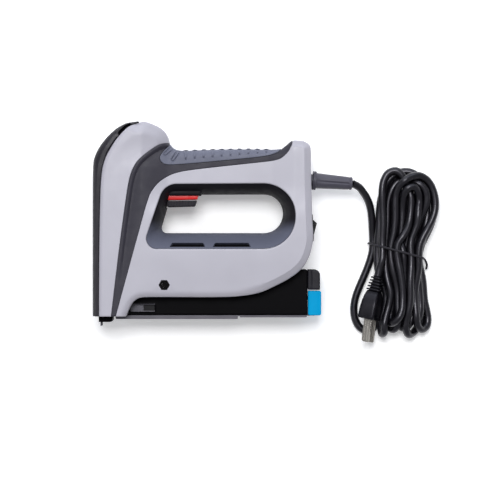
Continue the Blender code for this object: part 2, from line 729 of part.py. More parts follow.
def trigger():
    """Red lever with a black finger pad, on a pin, with its return spring."""
    corners = [
        (-30.4, 18.0, 0.6), (-7.4, 18.6, 0.6), (-6.6, 22.0, 1), (-7.4, 28.2, 1), (-31.0, 28.2, 1),
        (-33.6, 30.6, 2), (-39.4, 30.6, 3), (-39.4, 23.6, 3), (-31.4, 23.6, 0.4),
    ]
    lever = bevelled(prism("lever", corners, -7.0, 7.0), 0.5, 1)
    for side in (-1, 1):
        low, high = sorted((side * 4.0, side * 20))
        lever = combine(lever, box("cheek", (-60, 10, low), (-31.0, 50, high)))
    lever = combine(lever, rod("pin_hole", (*TRIGGER_PIVOT, -20), (*TRIGGER_PIVOT, 20), 1.6))
    finish(lever, "trigger", RED, TRIGGER_PIVOT)
    corners = [(-31.4, 12.6, 1.6), (-9.4, 13.2, 1.6), (-7.7, 18.2, 0.4), (-30.7, 17.6, 0.4)]
    pad = bevelled(prism("pad", corners, -7.2, 7.2), 0.6, 1)
    finish(pad, "trigger_pad", RUBBER, TRIGGER_PIVOT)
    finish(rod("pin", (*TRIGGER_PIVOT, -8.5), (*TRIGGER_PIVOT, 8.5), 1.5), "trigger_pin", STEEL)
    spring = coil_spring("spring", (-21.0, 28.8, 0), (-21.0, 36.4, 0), 2.0, 0.35, 4)
    finish(spring, "trigger_spring", STEEL)


def microswitch():
    """The switch above the trigger and the button that the trigger lifts."""
    body = box("body", (-26.0, 37.0, -5.0), (1.0, 52.0, 5.0))
    body = combine(body, box("bore", (-14.0, 30, -2.0), (-10.0, 45.6, 2.0)))
    finish(body, "microswitch_body", BLACK_PLASTIC)
    button = box("button", (-13.6, 28.6, -1.6), (-10.4, 41.5, 1.6))
    finish(button, "microswitch_button", NYLON, (-12.0, 28.6, 0))


def rocker_switch():
    """The power switch in the rear wall."""
    x, y = ROCKER_PIVOT
    housing = box("housing", (x - 10, y - 9.5, -6.5), (x + 2.7, y + 9.5, 6.5))
    housing = combine(housing, box("pocket", (x - 8.5, y - 7.9, -5.1), (x + 10, y + 7.9, 5.1)))
    housing = combine(housing, rod("pin_hole", (x, y, -20), (x, y, 20), 1.05))
    finish(housing, "rocker_housing", BLACK_PLASTIC)
    corners = [
        (76.0, -9.6, 1), (82.8, -10.2, 0.8), (85.6, 0.2, 0.8), (82.8, 2.8, 1), (76.0, 2.8, 1),
    ]
    key = prism("key", corners, -4.8, 4.8)
    key = combine(key, rod("pin_hole", (x, y, -20), (x, y, 20), 1.1))
    finish(key, "rocker", BLACK_PLASTIC, ROCKER_PIVOT)
    finish(rod("pin", (x, y, -6.2), (x, y, 6.2), 1.0), "rocker_pin", STEEL)


trigger()
microswitch()
rocker_switch()


# ---------------------------------------------------------------- electrics


def control_board():
    board = box("board", (-25, -46.5, -12.0), (44, -27, -10.4))
    for low, high in (
        ((-20, -44, -10.8), (-8, -31, -2.0)),
        ((26, -45, -10.8), (29, -29, 4.0)),
        ((34, -42, -10.8), (42, -34, -6.0)),
    ):
        board = combine(board, box("component", low, high), "UNION")
    finish(board, "control_board", BOARD_GREEN)
    finish(rod("can", (0, -37, -5.0), (22, -37, -5.0), 5.0, 20), "capacitor", BLACK_PLASTIC)


def cord_entry():
    """Strain relief boot through the rear wall, the clamp behind it and the lead to the switch."""
    profile = [
        (0, BOOT_LENGTH), (3.6, BOOT_LENGTH), (4.5, BOOT_LENGTH - 0.6), (4.6, BOOT_LENGTH - 3),
        (5.9, 12.6), (7.35, 11.7), (7.35, 9.1), (4.9, 9.1), (4.9, 2.6), (7.0, 2.6), (7.0, 0), (0, 0),
    ]
    finish(turned("boot", profile, BOOT_START, BOOT_AXIS, 24), "cord_boot", BLACK_PLASTIC)
    clamp = box("clamp", (66.0, 29.5, -7.0), (71.0, 41.0, 4.5))
    clamp = combine(clamp, rod("seat", (60, 35.2, 0), (75, 34.6, 0), 3.3))
    finish(clamp, "cord_clamp", NYLON)
    route = smooth_route([(72.6, 34.7, 0), (65, 35.0, 0), (50, 42.5, 0), (28, 47, 0), (1.6, 46, 0)], 8)
    finish(tube("lead", route, 2.6), "inner_lead", CORD_BLACK)


control_board()
cord_entry()


# ---------------------------------------------------------------- cord, hank and plug


def table_point(x, y, height):
    return (x, y, TABLE + height)


def cord():
    boot_end = Vector(BOOT_START) + (BOOT_LENGTH + GAP) * Vector(BOOT_AXIS)
    knots = [
        boot_end + 2.5 * Vector(BOOT_AXIS), table_point(119.6, 27.4, 18.6), table_point(124.2, 22.0, 13.6),
        table_point(128.0, 13.4, 8.2), table_point(129.8, 0.0, 5.6), table_point(130.6, -17.0, 5.3),
        table_point(124.6, -38.0, 3.2),
        table_point(116.2, -56.0, 3.1), table_point(114.2, -68.0, 3.1), table_point(119.0, -78.5, 3.1),
        table_point(126.6, -84.0, 3.1), table_point(134.6, -85.6, 3.1),
    ]
    finish(tube("lead", [boot_end, *smooth_route(knots, 11)], CORD_R), "cord_lead", CORD_BLACK)
    outline = [
        (135.5, -92.9, 6), (171.0, -92.9, 14), (173.0, -60.0, 20), (169.2, -20.0, 30), (183.4, 6.0, 25),
        (178.0, 44.0, 18), (160.0, 46.1, 10), (143.0, 46.1, 12), (136.5, 20.0, 20), (134.8, -27.0, 0.8),
        (141.0, -27.0, 2), (141.0, -79.0, 4), (135.5, -82.0, 1),
    ]
    hank = prism("hank", outline, TABLE + 0.3, TABLE + 19.0)
    left, right = Vector((126.2, -15.2)), Vector((171.6, -27.2))
    along = (right - left).normalized()
    turn = Matrix.Rotation(math.atan2(along.y, along.x), 4, "Z")
    middle = (left + right) / 2
    for low, high in ((-1.0, 2.3), (17.4, 25.0)):
        groove = box("groove", (-40, -1.6, TABLE + low), (40, 1.6, TABLE + high))
        groove.data.transform(Matrix.Translation((middle.x * MM, middle.y * MM, 0)) @ turn)
        hank = combine(hank, groove)
    finish(hank, "cord_hank", CORD_BLACK)
    half = (right - left).length / 2
    section = rounded([(-half, 1.0, 2.5), (half, 1.0, 2.5), (half, 18.4, 2.5), (-half, 18.4, 2.5)])
    ring = [table_point(*(middle + along * x), height) for x, height in section]
    finish(tube("tie", ring, 0.75, closed=True), "cord_tie", RUBBER)


PLUG_TURN = Matrix.Rotation(-PLUG_TILT, 4, "Z") @ Matrix.Rotation(-PLUG_ROLL, 4, "Y")


def plug_point(along):
    """A place on the plug's middle line, at a distance from its face towards the cord."""
    return Vector((*PLUG_FACE, PLUG_MID)) + PLUG_TURN.to_3x3() @ Vector((0, along, 0))


def plug():
    """A two-pin mains plug standing on its narrow edge."""
    face, neck, end = (
        [(-x, -y, radius), (x, -y, radius), (x, y, radius), (-x, y, radius)]
        for x, y, radius in ((6.3, 11.0, 4.0), (4.6, 5.0, 2.6), (3.9, 3.9, 2.2))
    )
    sections = [
        (rounded(inset(face, 0.8)), 0.0), (rounded(face), 1.2), (rounded(face), 9.0),
        (rounded(between(face, neck, 0.45)), 15.5), (rounded(neck), 21.5), (rounded(end), 34.0),
    ]
    body = loft("plug", sections)
    upright = Matrix(((1, 0, 0, 0), (0, 0, 1, 0), (0, -1, 0, 0), (0, 0, 0, 1)))
    place = Matrix.Translation(plug_point(0) * MM) @ PLUG_TURN
    body.data.transform(place @ upright)
    for number, side in enumerate((-1, 1), 1):
        height = side * BLADE_SPACING / 2
        for name, low, high, half, thick in (
            ("slot", -1.0, 5.0, 3.5, 1.1), ("blade", -17.8, 4.6, 3.17, 0.76),
        ):
            shape = box(name, (-half, low, height - thick), (half, high, height + thick))
            shape.data.transform(place)
            if name == "slot":
                body = combine(body, shape)
            else:
                finish(shape, f"plug_blade_{number}", NICKEL)
    finish(body, "plug_body", CORD_BLACK)
    knots = [plug_point(34.3), plug_point(38), (136.4, -33, PLUG_MID), (137.4, -28.0, PLUG_MID + 0.6)]
    finish(tube("end", smooth_route(knots, 4), CORD_R), "cord_plug_end", CORD_BLACK)


cord()
plug()
parting_plane.location = (0, 0, BODY_H * MM)
for part in parts.objects:
    if part.type == "MESH":
        part.data.shade_smooth()
        part.data.set_sharp_from_angle(angle=math.radians(35))
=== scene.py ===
import json
import math

import bmesh
import bpy
import numpy as np
from mathutils import Matrix, Vector
from mathutils.geometry import delaunay_2d_cdt


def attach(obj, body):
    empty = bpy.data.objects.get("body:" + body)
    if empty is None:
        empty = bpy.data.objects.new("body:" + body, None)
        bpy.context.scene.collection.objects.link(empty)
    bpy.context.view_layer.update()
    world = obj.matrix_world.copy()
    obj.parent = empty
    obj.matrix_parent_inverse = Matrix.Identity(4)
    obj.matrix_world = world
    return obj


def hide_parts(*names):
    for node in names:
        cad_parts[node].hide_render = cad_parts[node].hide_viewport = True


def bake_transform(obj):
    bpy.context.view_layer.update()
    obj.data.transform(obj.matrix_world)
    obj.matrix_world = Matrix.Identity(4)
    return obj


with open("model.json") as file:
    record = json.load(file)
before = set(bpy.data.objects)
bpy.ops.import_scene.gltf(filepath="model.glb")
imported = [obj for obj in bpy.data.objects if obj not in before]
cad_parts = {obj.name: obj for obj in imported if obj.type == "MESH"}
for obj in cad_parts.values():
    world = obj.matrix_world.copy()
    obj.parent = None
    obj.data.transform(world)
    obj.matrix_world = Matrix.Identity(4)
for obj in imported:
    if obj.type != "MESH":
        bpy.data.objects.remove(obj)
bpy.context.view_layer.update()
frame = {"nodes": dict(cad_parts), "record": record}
MM = 0.001
MID = 24.0  # height of the parting plane
scene = bpy.context.scene


def add_object(name, data):
    obj = bpy.data.objects.new(name, data)
    scene.collection.objects.link(obj)
    return obj


# ---- materials


def noise(tree, scale, detail, stretch=(1, 1, 1)):
    """A noise texture in object space, drawn out along the axes whose stretch is small."""
    coords = tree.nodes.new("ShaderNodeTexCoord")
    mapping = tree.nodes.new("ShaderNodeMapping")
    mapping.inputs["Scale"].default_value = stretch
    texture = tree.nodes.new("ShaderNodeTexNoise")
    texture.inputs["Scale"].default_value = scale
    texture.inputs["Detail"].default_value = detail
    tree.links.new(coords.outputs["Object"], mapping.inputs["Vector"])
    tree.links.new(mapping.outputs["Vector"], texture.inputs["Vector"])
    return texture.outputs["Fac"]


def ramp(tree, source, low, high):
    """Colours from low to high over the middle of the source's range."""
    node = tree.nodes.new("ShaderNodeValToRGB")
    for stop, position, colour in zip(node.color_ramp.elements, (0.35, 0.65), (low, high)):
        stop.position = position
        stop.color = (*colour, 1)
    tree.links.new(source, node.inputs["Fac"])
    return node.outputs["Color"]


def grey(value):
    return (value, value, value)


GLOSS_SCALE = 3.1  # the gloss changes over shorter distances than the tone
GRAIN_DEPTH = 0.00012


def surface(
    name, colour, roughness, grain=0.4, grain_size=0.4, spread=0.1, metallic=0.0, coat=0.0, sheen=0.0,
    specular=0.5, stretch=(1, 1, 1), blotch=60.0, wear=0.06, tint=(1, 1, 1),
):
    """A surface with a fine grain of a size in millimetres, and slow changes of tone and of gloss.
    spread is the change of tone, wear the change of roughness, blotch the number of patches in a metre."""
    mat = bpy.data.materials.new(name)
    mat.use_nodes = True
    tree = mat.node_tree
    shader = tree.nodes["Principled BSDF"]
    light = tuple(min(1.0, c * (1 + spread)) for c in colour)
    dark = tuple(c * (1 - spread) for c in colour)
    slow = noise(tree, blotch, 4.0)
    tree.links.new(ramp(tree, slow, dark, light), shader.inputs["Base Color"])
    gloss = noise(tree, blotch * GLOSS_SCALE, 5.0, stretch)
    tree.links.new(
        ramp(tree, gloss, grey(max(0.02, roughness - wear)), grey(min(1.0, roughness + wear))),
        shader.inputs["Roughness"],
    )
    for socket, value in (
        ("Metallic", metallic), ("Specular IOR Level", specular), ("Specular Tint", (*tint, 1)),
        ("Coat Weight", coat), ("Coat Roughness", 0.12), ("Sheen Weight", sheen), ("Sheen Roughness", 0.4),
    ):
        shader.inputs[socket].default_value = value
    bump = tree.nodes.new("ShaderNodeBump")
    bump.inputs["Strength"].default_value = grain
    bump.inputs["Distance"].default_value = GRAIN_DEPTH
    tree.links.new(noise(tree, 1 / (grain_size * MM), 2.0, stretch), bump.inputs["Height"])
    tree.links.new(bump.outputs["Normal"], shader.inputs["Normal"])
    return mat


def painted_light_below(mat, colour, dark_y, light_y):
    """Painted light: the surface turns to this paler colour towards lower Y, in metres."""
    tree = mat.node_tree
    shader = tree.nodes["Principled BSDF"]
    base = shader.inputs["Base Color"].links[0].from_socket
    coords = tree.nodes.new("ShaderNodeTexCoord")
    axes = tree.nodes.new("ShaderNodeSeparateXYZ")
    share = tree.nodes.new("ShaderNodeMapRange")
    share.interpolation_type = "SMOOTHSTEP"
    share.inputs["From Min"].default_value = dark_y
    share.inputs["From Max"].default_value = light_y
    blend = tree.nodes.new("ShaderNodeMixRGB")
    blend.inputs["Color2"].default_value = (*colour, 1)
    tree.links.new(coords.outputs["Object"], axes.inputs["Vector"])
    tree.links.new(axes.outputs["Y"], share.inputs["Value"])
    tree.links.new(share.outputs["Result"], blend.inputs["Fac"])
    tree.links.new(base, blend.inputs["Color1"])
    tree.links.new(blend.outputs["Color"], shader.inputs["Base Color"])


VIOLET = (0.9, 0.88, 1.0)
TONE = 0.72  # how much darker a surface is than it looks under these lights


def linear(r, g, b):
    """The linear colour of a surface that looks like this sRGB colour, 0 to 255."""
    return tuple(TONE * ((c / 255 + 0.055) / 1.055) ** 2.4 for c in (r, g, b))


SHELL = surface(
    "shell_plastic", linear(191, 189, 200), 0.42, 0.35, 0.45, 0.018, wear=0.04, blotch=40,
    specular=0.4,
)
OVERMOULD = surface(
    "overmould_rubber", linear(51, 49, 60), 0.55, 0.6, 0.35, 0.05, sheen=0.06, blotch=50,
    specular=0.3,
)
GRIP = surface(
    "grip_rubber", linear(112, 115, 133), 0.55, 0.7, 0.3, 0.05, sheen=0.15, blotch=80,
    specular=0.3,
)
BUMPER = surface("bumper_plastic", linear(37, 35, 43), 0.45, 0.4, 0.4, 0.08, specular=0.22)
LINER = surface("liner_plastic", linear(30, 28, 34), 0.62, 0.4, 0.4, 0.05, specular=0.15)
# Painted light: the liner is painted paler on its lower wall, which faces the lamps at the top, and keeps
# the dark tone of its shaded upper wall.
painted_light_below(LINER, linear(101, 104, 121), 0.004, -0.008)
# Painted shade: black for the back of the shallow vent recesses and for the floor of the strip's groove,
# where the real gaps are dark only from shade.
PAINTED_SHADE = surface("painted_shade_black", linear(12, 11, 16), 0.8, specular=0.1)
BLACK_STEEL = surface("black_steel", linear(6, 5, 9), 0.42, 0.25, 0.6, 0.1, specular=0.04, blotch=30)
RAIL = surface(
    "rail_steel", linear(99, 97, 105), 0.42, 0.3, 0.4, 0.1, metallic=0.35, specular=0.3,
    stretch=(0.05, 1, 1),
)
CAP = surface("cap_plastic", linear(36, 35, 42), 0.5, 0.5, 0.4, 0.08, specular=0.18)
PLASTIC = surface("black_plastic", linear(18, 17, 22), 0.45, specular=0.18)
RUBBER = surface("black_rubber", linear(44, 42, 49), 0.6, 0.6, 0.4, 0.08, sheen=0.08, specular=0.2)
RED = surface("red_plastic", linear(242, 34, 34), 0.3, 0.15, 0.5, 0.04, coat=0.35)
BLUE = surface("blue_plastic", linear(0, 168, 226), 0.5, 0.2, 0.5, 0.03, specular=0.05)
STEEL = surface("steel", linear(84, 83, 89), 0.4, 0.2, 0.3, 0.1, metallic=1.0, stretch=(0.1, 1, 1))
NICKEL = surface(
    "blade_nickel", linear(176, 172, 166), 0.24, 0.3, 0.5, 0.12, metallic=1.0,
    stretch=(1, 0.12, 1),
)
COPPER = surface(
    "enamelled_copper", linear(190, 100, 55), 0.3, 0.3, 0.4, 0.15, metallic=0.9,
    stretch=(1, 1, 6),
)
NYLON = surface("nylon", linear(214, 210, 196), 0.45, 0.2, 0.5, 0.04)
BOARD = surface("board_lacquer", linear(38, 96, 58), 0.4, 0.4, 0.8, 0.3, blotch=400)
BOOT = surface("boot_rubber", linear(84, 82, 94), 0.42, 0.4, 0.35, 0.05, specular=0.3)
CORD = surface(
    "cord_vinyl", linear(11, 10, 15), 0.34, 0.3, 0.6, 0.1, coat=0.12, specular=0.45, blotch=120,
    tint=VIOLET,
)
PLUG = surface("plug_vinyl", linear(8, 7, 13), 0.36, 0.4, 0.45, 0.1, coat=0.04, specular=0.24, tint=VIOLET)

NODE_LOOKS = {
    "shell": SHELL, "overmould": OVERMOULD, "grip": GRIP, "bumper": BUMPER, "liner": LINER,
    "black_steel": BLACK_STEEL, "rail": RAIL, "dark_plastic": CAP, "steel": STEEL, "copper": COPPER,
    "nylon": NYLON, "black_rubber": RUBBER, "board": BOARD, "black_plastic": PLASTIC, "boot": BOOT,
    "cord": CORD, "tie": RUBBER, "plug": PLUG, "nickel": NICKEL, "red": RED, "blue": BLUE,
}
for row in frame["record"]["subparts"]:
    node = frame["nodes"][row["node"]]
    node.data.materials.clear()
    node.data.materials.append(NODE_LOOKS[row["material_slot"]])


# ---- camera, light and floor

PHOTO_CENTRE = (33.5, -20.6)  # the place under the camera
FRAME_WIDTH = 390.0  # of the picture, at the parting plane
CAMERA_RISE = 1500.0
camera = add_object("camera", bpy.data.cameras.new("camera"))
camera.location = (PHOTO_CENTRE[0] * MM, PHOTO_CENTRE[1] * MM, (MID + CAMERA_RISE) * MM)
camera.data.lens = camera.data.sensor_width * CAMERA_RISE / FRAME_WIDTH
camera.data.clip_start = 0.05
scene.camera = camera
scene.view_settings.view_transform = "Standard"


def area_light(name, place, target, size, power, colour=(1, 1, 1)):
    lamp = bpy.data.lights.new(name, "AREA")
    lamp.shape = "RECTANGLE"
    lamp.size, lamp.size_y = size
    lamp.energy = power
    lamp.color = colour
    obj = add_object(name, lamp)
    obj.location = place
    obj.rotation_mode = "QUATERNION"
    obj.rotation_quaternion = (Vector(target) - Vector(place)).to_track_quat("-Z", "Y")


AIM = (0.03, -0.02, 0.0)
area_light("key", (-0.06, 0.5, 1.62), AIM, (0.75, 0.6), 21)
area_light("side", (-1.2, -0.3, 0.9), AIM, (0.8, 1.0), 1.1)
area_light("window", (0.05, 1.15, 0.62), (0.03, 0.0, 0.0), (1.8, 0.6), 8.5, (0.84, 0.9, 1.0))
world = bpy.data.worlds.new("world")
world.use_nodes = True
background = world.node_tree.nodes["Background"]
background.inputs["Color"].default_value = (0.96, 0.97, 1.0, 1)
background.inputs["Strength"].default_value = 0.42
scene.world = world

FLOOR = surface("floor_paper", (0.93, 0.93, 0.935), 0.9, 0.2, 1.5, 0.004, specular=0.1, blotch=3)
glow = FLOOR.node_tree.nodes["Principled BSDF"]
glow.inputs["Emission Color"].default_value = (1, 1, 1, 1)
glow.inputs["Emission Strength"].default_value = 0.24
floor_mesh = bpy.data.meshes.new("floor")
FLOOR_REACH, FLOOR_Z = 3, -0.0002
corners_round = ((-1, -1), (1, -1), (1, 1), (-1, 1))
floor_corners = [(x * FLOOR_REACH, y * FLOOR_REACH, FLOOR_Z) for x, y in corners_round]
floor_mesh.from_pydata(floor_corners, [], [(0, 1, 2, 3)])
floor_mesh.materials.append(FLOOR)
add_object("floor", floor_mesh)


# ---- cord

CORD_R = 3.0
BOOT_START = Vector((73.2, 34.35, MID))
BOOT_AXIS = Vector((0.9955, -0.0765, -0.055))
BOOT_LENGTH = 40.3
CORD_EXIT = BOOT_START + (BOOT_LENGTH + 0.3) * BOOT_AXIS
PLUG_FACE = Vector((126.6, -74.8, 14.3))
PLUG_TILT = math.radians(12)
PLUG_ROLL = math.radians(20)
PLUG_TURN = Matrix.Rotation(-PLUG_TILT, 4, "Z") @ Matrix.Rotation(-PLUG_ROLL, 4, "Y")
PLUG_FRAME = Matrix.Translation(PLUG_FACE) @ PLUG_TURN


def plug_point(across, along, height):
    """A place in the plug's own frame, in millimetres."""
    return PLUG_FRAME @ Vector((across, along, height))


def lengths(vectors):
    """The length of each row."""
    return np.linalg.norm(vectors, axis=1)


def spline(knots, spacing):
    """Points at an even spacing along a smooth curve through the knots."""
    knots = np.array([tuple(k) for k in knots], float)
    ends = np.vstack([2 * knots[0] - knots[1], knots, 2 * knots[-1] - knots[-2]])
    t = np.linspace(0, 1, 24, endpoint=False)[:, None]
    parts = []
    for a, b, c, d in zip(ends, ends[1:], ends[2:], ends[3:]):
        square = (2 * a - 5 * b + 4 * c - d) * t**2 / 2
        cube = (3 * b - a - 3 * c + d) * t**3 / 2
        parts.append(b + (c - a) * t / 2 + square + cube)
    parts.append(ends[-2:-1])
    return resample(np.vstack(parts), spacing)


def resample(line, spacing):
    """The same line with points at an even spacing."""
    gone = np.concatenate([[0], np.cumsum(lengths(np.diff(line, axis=0)))])
    count = max(2, round(gone[-1] / spacing))
    wanted = np.linspace(0, gone[-1], count + 1)
    return np.stack([np.interp(wanted, gone, line[:, k]) for k in range(line.shape[1])], 1)


# Columns at the tie, from left to right, and heights of the hank's layers
LOW, MIDDLE, HIGH = 3.2, 9, 14.6
TIE_LEFT = Vector((127.2, -15.3))
TIE_RIGHT = Vector((169.6, -26.9))


def tie_y(x):
    """Where the tie's line lies at this X."""
    return TIE_LEFT.y + (x - TIE_LEFT.x) * (TIE_RIGHT.y - TIE_LEFT.y) / (TIE_RIGHT.x - TIE_LEFT.x)


def over_top(left, right, apex, bulges, z, rise=0):
    """Points of a loop above the tie, from its left run to its right run."""
    (ax, ay), (bl, br) = apex, bulges
    return [
        (left, tie_y(left), z), (left + 0.55 * (bl - left), 1, z), (bl, 17, z + rise),
        (bl + 0.28 * (ax - bl), ay - 8, z + rise), (ax, ay, z + rise),
        (ax + 0.68 * (br - ax), ay - 8, z + rise),
        (br, 12, z + rise), (right + 0.45 * (br - right), -7, z), (right, tie_y(right), z),
    ]


def under_bottom(first, second, end, width=4.5):
    """Points of a narrow fold below the tie, between two runs (x, z)."""
    (x1, z1), (x2, z2) = first, second
    ex, ey = end
    side = 1 if x2 > x1 else -1
    return [
        (x1 + 0.5 * (ex - side * width - x1), -48, z1), (ex - side * width, -68, z1),
        (ex - side * width * 0.9, ey + 6, z1 * 0.75 + z2 * 0.25), (ex, ey, (z1 + z2) / 2),
        (ex + side * width * 0.9, ey + 6, z1 * 0.25 + z2 * 0.75), (ex + side * width, -68, z2),
        (x2 + 0.5 * (ex + side * width - x2), -48, z2),
    ]


def hank_route():
    """From the boot round the plug, then up and down through the hank to the plug's end."""
    lead = [
        CORD_EXIT, CORD_EXIT + 2.5 * BOOT_AXIS, (119.6, 27.6, 18.6), (124.4, 21.8, 13.6),
        (128.2, 13.2, 8.4), (130, 0, 5.6), (130.6, -17, 4.4), (125.2, -38, 3.3),
        (117.4, -56, 3.1), (115.4, -68, 3.1), (119, -78.5, 3.1), (126.6, -84, 3.1),
        (134, -81, 3.1), (137.6, -66, 3.1), (138.2, -45, 3.1),
    ]
    loops = [
        over_top(137.5, 167, (153, 40), (140, 176), LOW),
        under_bottom((167, LOW), (163.5, HIGH), (166.6, -85)),
        over_top(149.5, 163.5, (162, 40), (149, 180), HIGH)[::-1],
        under_bottom((149.5, HIGH), (143.6, LOW), (146, -84)),
        over_top(143.6, 161, (156, 34), (145, 169), LOW),
        under_bottom((161, LOW), (157.8, HIGH), (157.6, -89.6)),
        over_top(152.4, 157.8, (160.5, 32), (152.5, 169.5), HIGH)[::-1],
        under_bottom((152.4, HIGH), (149.4, LOW), (150.5, -80)),
        over_top(149.4, 155.2, (157, 27), (151, 163), LOW),
        under_bottom((155.2, LOW), (166, MIDDLE), (161.5, -78)),
        over_top(134.6, 166, (150, 41), (138, 174), MIDDLE)[::-1],
        under_bottom((134.6, MIDDLE), (143.4, HIGH), (138.6, -88.2)),
        over_top(143.4, 160.5, (157, 38), (143.5, 173), MIDDLE, 2),
        under_bottom((160.5, MIDDLE), (154, MIDDLE), (154.4, -84)),
        over_top(147, 154, (154, 24), (150, 160), MIDDLE)[::-1],
        under_bottom((147, MIDDLE), (152, HIGH), (148.5, -82)),
        over_top(137.6, 152, (149, 43), (137.2, 160), HIGH)[::-1],
    ]
    knots = list(lead)
    for loop in loops:
        knots += loop
    plug_end = [(137.2, -28, 15.2), plug_point(0, 40, 0), plug_point(0, 34.2, 0)]
    return knots + plug_end


HELD_START, HELD_END = 14, 5  # points that stay, at the boot and at the plug
SPACE = 2 * CORD_R + 0.15  # between the middles of two runs
PLUG_REACH, PLUG_ROOM = 12, 12.5  # half the length of the plug's block, and the space kept beside it
TIED_X, TIED_TOP, TIED_REACH = (130.2, 167.2), 16.6, 7  # the room inside the tie
RETURN, SAG, APART, ASIDE = 0.006, 0.02, 0.35, 0.3  # how far each rule moves a point in a round
CROWD = 2.2  # neighbours that may push a point at full strength


def settle(line, rounds):
    """Relaxes the cord: runs lie a diameter apart, on the table, stiff in bending, near their place."""
    wish = line.copy()
    count = len(line)
    step = lengths(np.diff(line, axis=0)).mean()
    free = np.ones(count, bool)
    free[:HELD_START] = False
    free[-HELD_END:] = False
    near = np.abs(np.subtract.outer(np.arange(count), np.arange(count))) < 5
    centre = np.array(plug_point(0, 12, 0))
    axis = np.array(PLUG_FRAME.to_3x3() @ Vector((0, 1, 0)))
    for _ in range(rounds):
        smooth = np.zeros_like(line)
        smooth[2:-2] = (
            -line[:-4] + 4 * line[1:-3] - 6 * line[2:-2] + 4 * line[3:-1] - line[4:]
        ) / 12
        line = line + np.where(free[:, None], smooth + (wish - line) * RETURN, 0)
        line[free, 2] -= SAG
        # the length between neighbours stays
        for first in (0, 1) * 3:
            a = np.arange(first, count - 1, 2)
            gap = line[a + 1] - line[a]
            size = lengths(gap)[:, None]
            push = gap * (1 - step / size) / 2
            line[a] += push * free[a][:, None]
            line[a + 1] -= push * free[a + 1][:, None]
        # runs that are too close move apart
        delta = line[:, None] - line[None]
        reach = np.sqrt((delta**2).sum(2))
        i, j = np.nonzero((reach < SPACE) & ~near)
        apart = np.maximum(reach[i, j], 1e-6)
        shift = delta[i, j] / apart[:, None] * ((SPACE - apart) * APART)[:, None]
        move = np.zeros_like(line)
        hits = np.zeros(count)
        np.add.at(move, i, shift)
        np.add.at(hits, i, 1)
        line += np.where(free[:, None], move / np.maximum(1, hits / CROWD)[:, None], 0)
        # the runs go round the plug's body
        local = line - centre
        along = local @ axis
        beside = local - along[:, None] * axis
        far = lengths(beside)
        inside = (np.abs(along) < PLUG_REACH) & (far < PLUG_ROOM) & free
        line[inside] += beside[inside] / far[inside][:, None] * ASIDE
        line[:, 2] = np.maximum(line[:, 2], CORD_R)
        # and through the tie
        tied = (np.abs(line[:, 1] - np.array([tie_y(x) for x in line[:, 0]])) < TIED_REACH) & free
        line[tied, 0] = np.clip(line[tied, 0], *TIED_X)
        line[tied, 2] = np.minimum(line[tied, 2], TIED_TOP)
    return line


ROUNDS = 420
cord_line = settle(resample(spline(hank_route(), 3), 3.2), ROUNDS)


def curve_tube(name, line, radius, look, closed=False, resolution=5):
    """A round tube along a line, on the housing."""
    curve = bpy.data.curves.new(name, "CURVE")
    curve.dimensions = "3D"
    curve.bevel_depth = radius * MM
    curve.bevel_resolution = resolution
    curve.use_fill_caps = not closed
    path = curve.splines.new("POLY")
    path.points.add(len(line) - 1)
    for point, place in zip(path.points, line):
        point.co = (place[0] * MM, place[1] * MM, place[2] * MM, 1)
    path.use_cyclic_u = closed
    path.use_smooth = True
    obj = add_object(name, curve)
    curve.materials.append(look)
    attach(obj, "housing")
    return obj


cord_knots = cord_line[::2]
if len(cord_line) % 2 == 0:
    cord_knots = np.vstack([cord_knots, cord_line[-1:]])
cord_fine = spline(cord_knots, 1.6)
cord = curve_tube("mains_cord", cord_fine, CORD_R, CORD)
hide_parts("cord_lead", "cord_hank", "cord_plug_end")


# ---- mesh helpers


def joined(*lines):
    """One closed loop from curves that follow each other."""
    points = [line if k == 0 else line[1:] for k, line in enumerate(lines)]
    loop = np.vstack(points)
    if np.linalg.norm(loop[0] - loop[-1]) < 0.05:
        loop = loop[:-1]
    return loop


def rounded(corners, arc_steps, side_steps):
    """A closed outline of corners (x, y, radius). The functions give the number of steps along the arc and
    along the side that follow a corner, from its number and the length."""
    pieces = []
    for k, (x, y, radius) in enumerate(corners):
        here = Vector((x, y))
        back = Vector(corners[k - 1][:2]) - here
        ahead = Vector(corners[(k + 1) % len(corners)][:2]) - here
        half_angle = back.angle(ahead) / 2
        reach = min(radius / math.tan(half_angle), 0.49 * back.length, 0.49 * ahead.length)
        if reach < 0.02:
            pieces.append([here])
            continue
        radius = reach * math.tan(half_angle)
        inwards = (back.normalized() + ahead.normalized()).normalized()
        centre = here + inwards * radius / math.sin(half_angle)
        first = here + back.normalized() * reach - centre
        last = here + ahead.normalized() * reach - centre
        sweep = math.atan2(first.x * last.y - first.y * last.x, first.dot(last))
        steps = arc_steps(k, abs(sweep) * radius)
        turns = [sweep * i / steps for i in range(steps + 1)]
        pieces.append([centre + Matrix.Rotation(turn, 2) @ first for turn in turns])
    loop = []
    for k, piece in enumerate(pieces):
        loop += piece
        gap = pieces[(k + 1) % len(pieces)][0] - piece[-1]
        steps = side_steps(k, gap.length)
        loop += [piece[-1] + gap * i / steps for i in range(1, steps)]
    return np.array([tuple(p) for p in loop])


def arcs(corners, spacing=1):
    """An outline with points at most a spacing apart."""
    def at_least(few):
        return lambda k, length: max(few, math.ceil(length / spacing))
    return rounded(corners, at_least(4), at_least(1))


def box_corners(half_x, half_y, radius):
    return [(x * half_x, y * half_y, radius) for x, y in corners_round]


def matched(corners, arc_steps, side_steps):
    """An outline whose number of points depends on the steps only."""
    return rounded(corners, lambda k, length: arc_steps, lambda k, length: side_steps[k])


def normals(loop):
    """Unit normals of a loop, to the left of its direction."""
    tangent = np.roll(loop, -1, axis=0) - np.roll(loop, 1, axis=0)
    tangent /= lengths(tangent)[:, None]
    return np.stack([-tangent[:, 1], tangent[:, 0]], 1)


def grid_faces(row_count, size, closed=True):
    """The faces between rows of points, each row so many points long."""
    for r in range(row_count - 1):
        for k in range(size if closed else size - 1):
            n = (k + 1) % size
            yield r * size + k, r * size + n, (r + 1) * size + n, (r + 1) * size + k


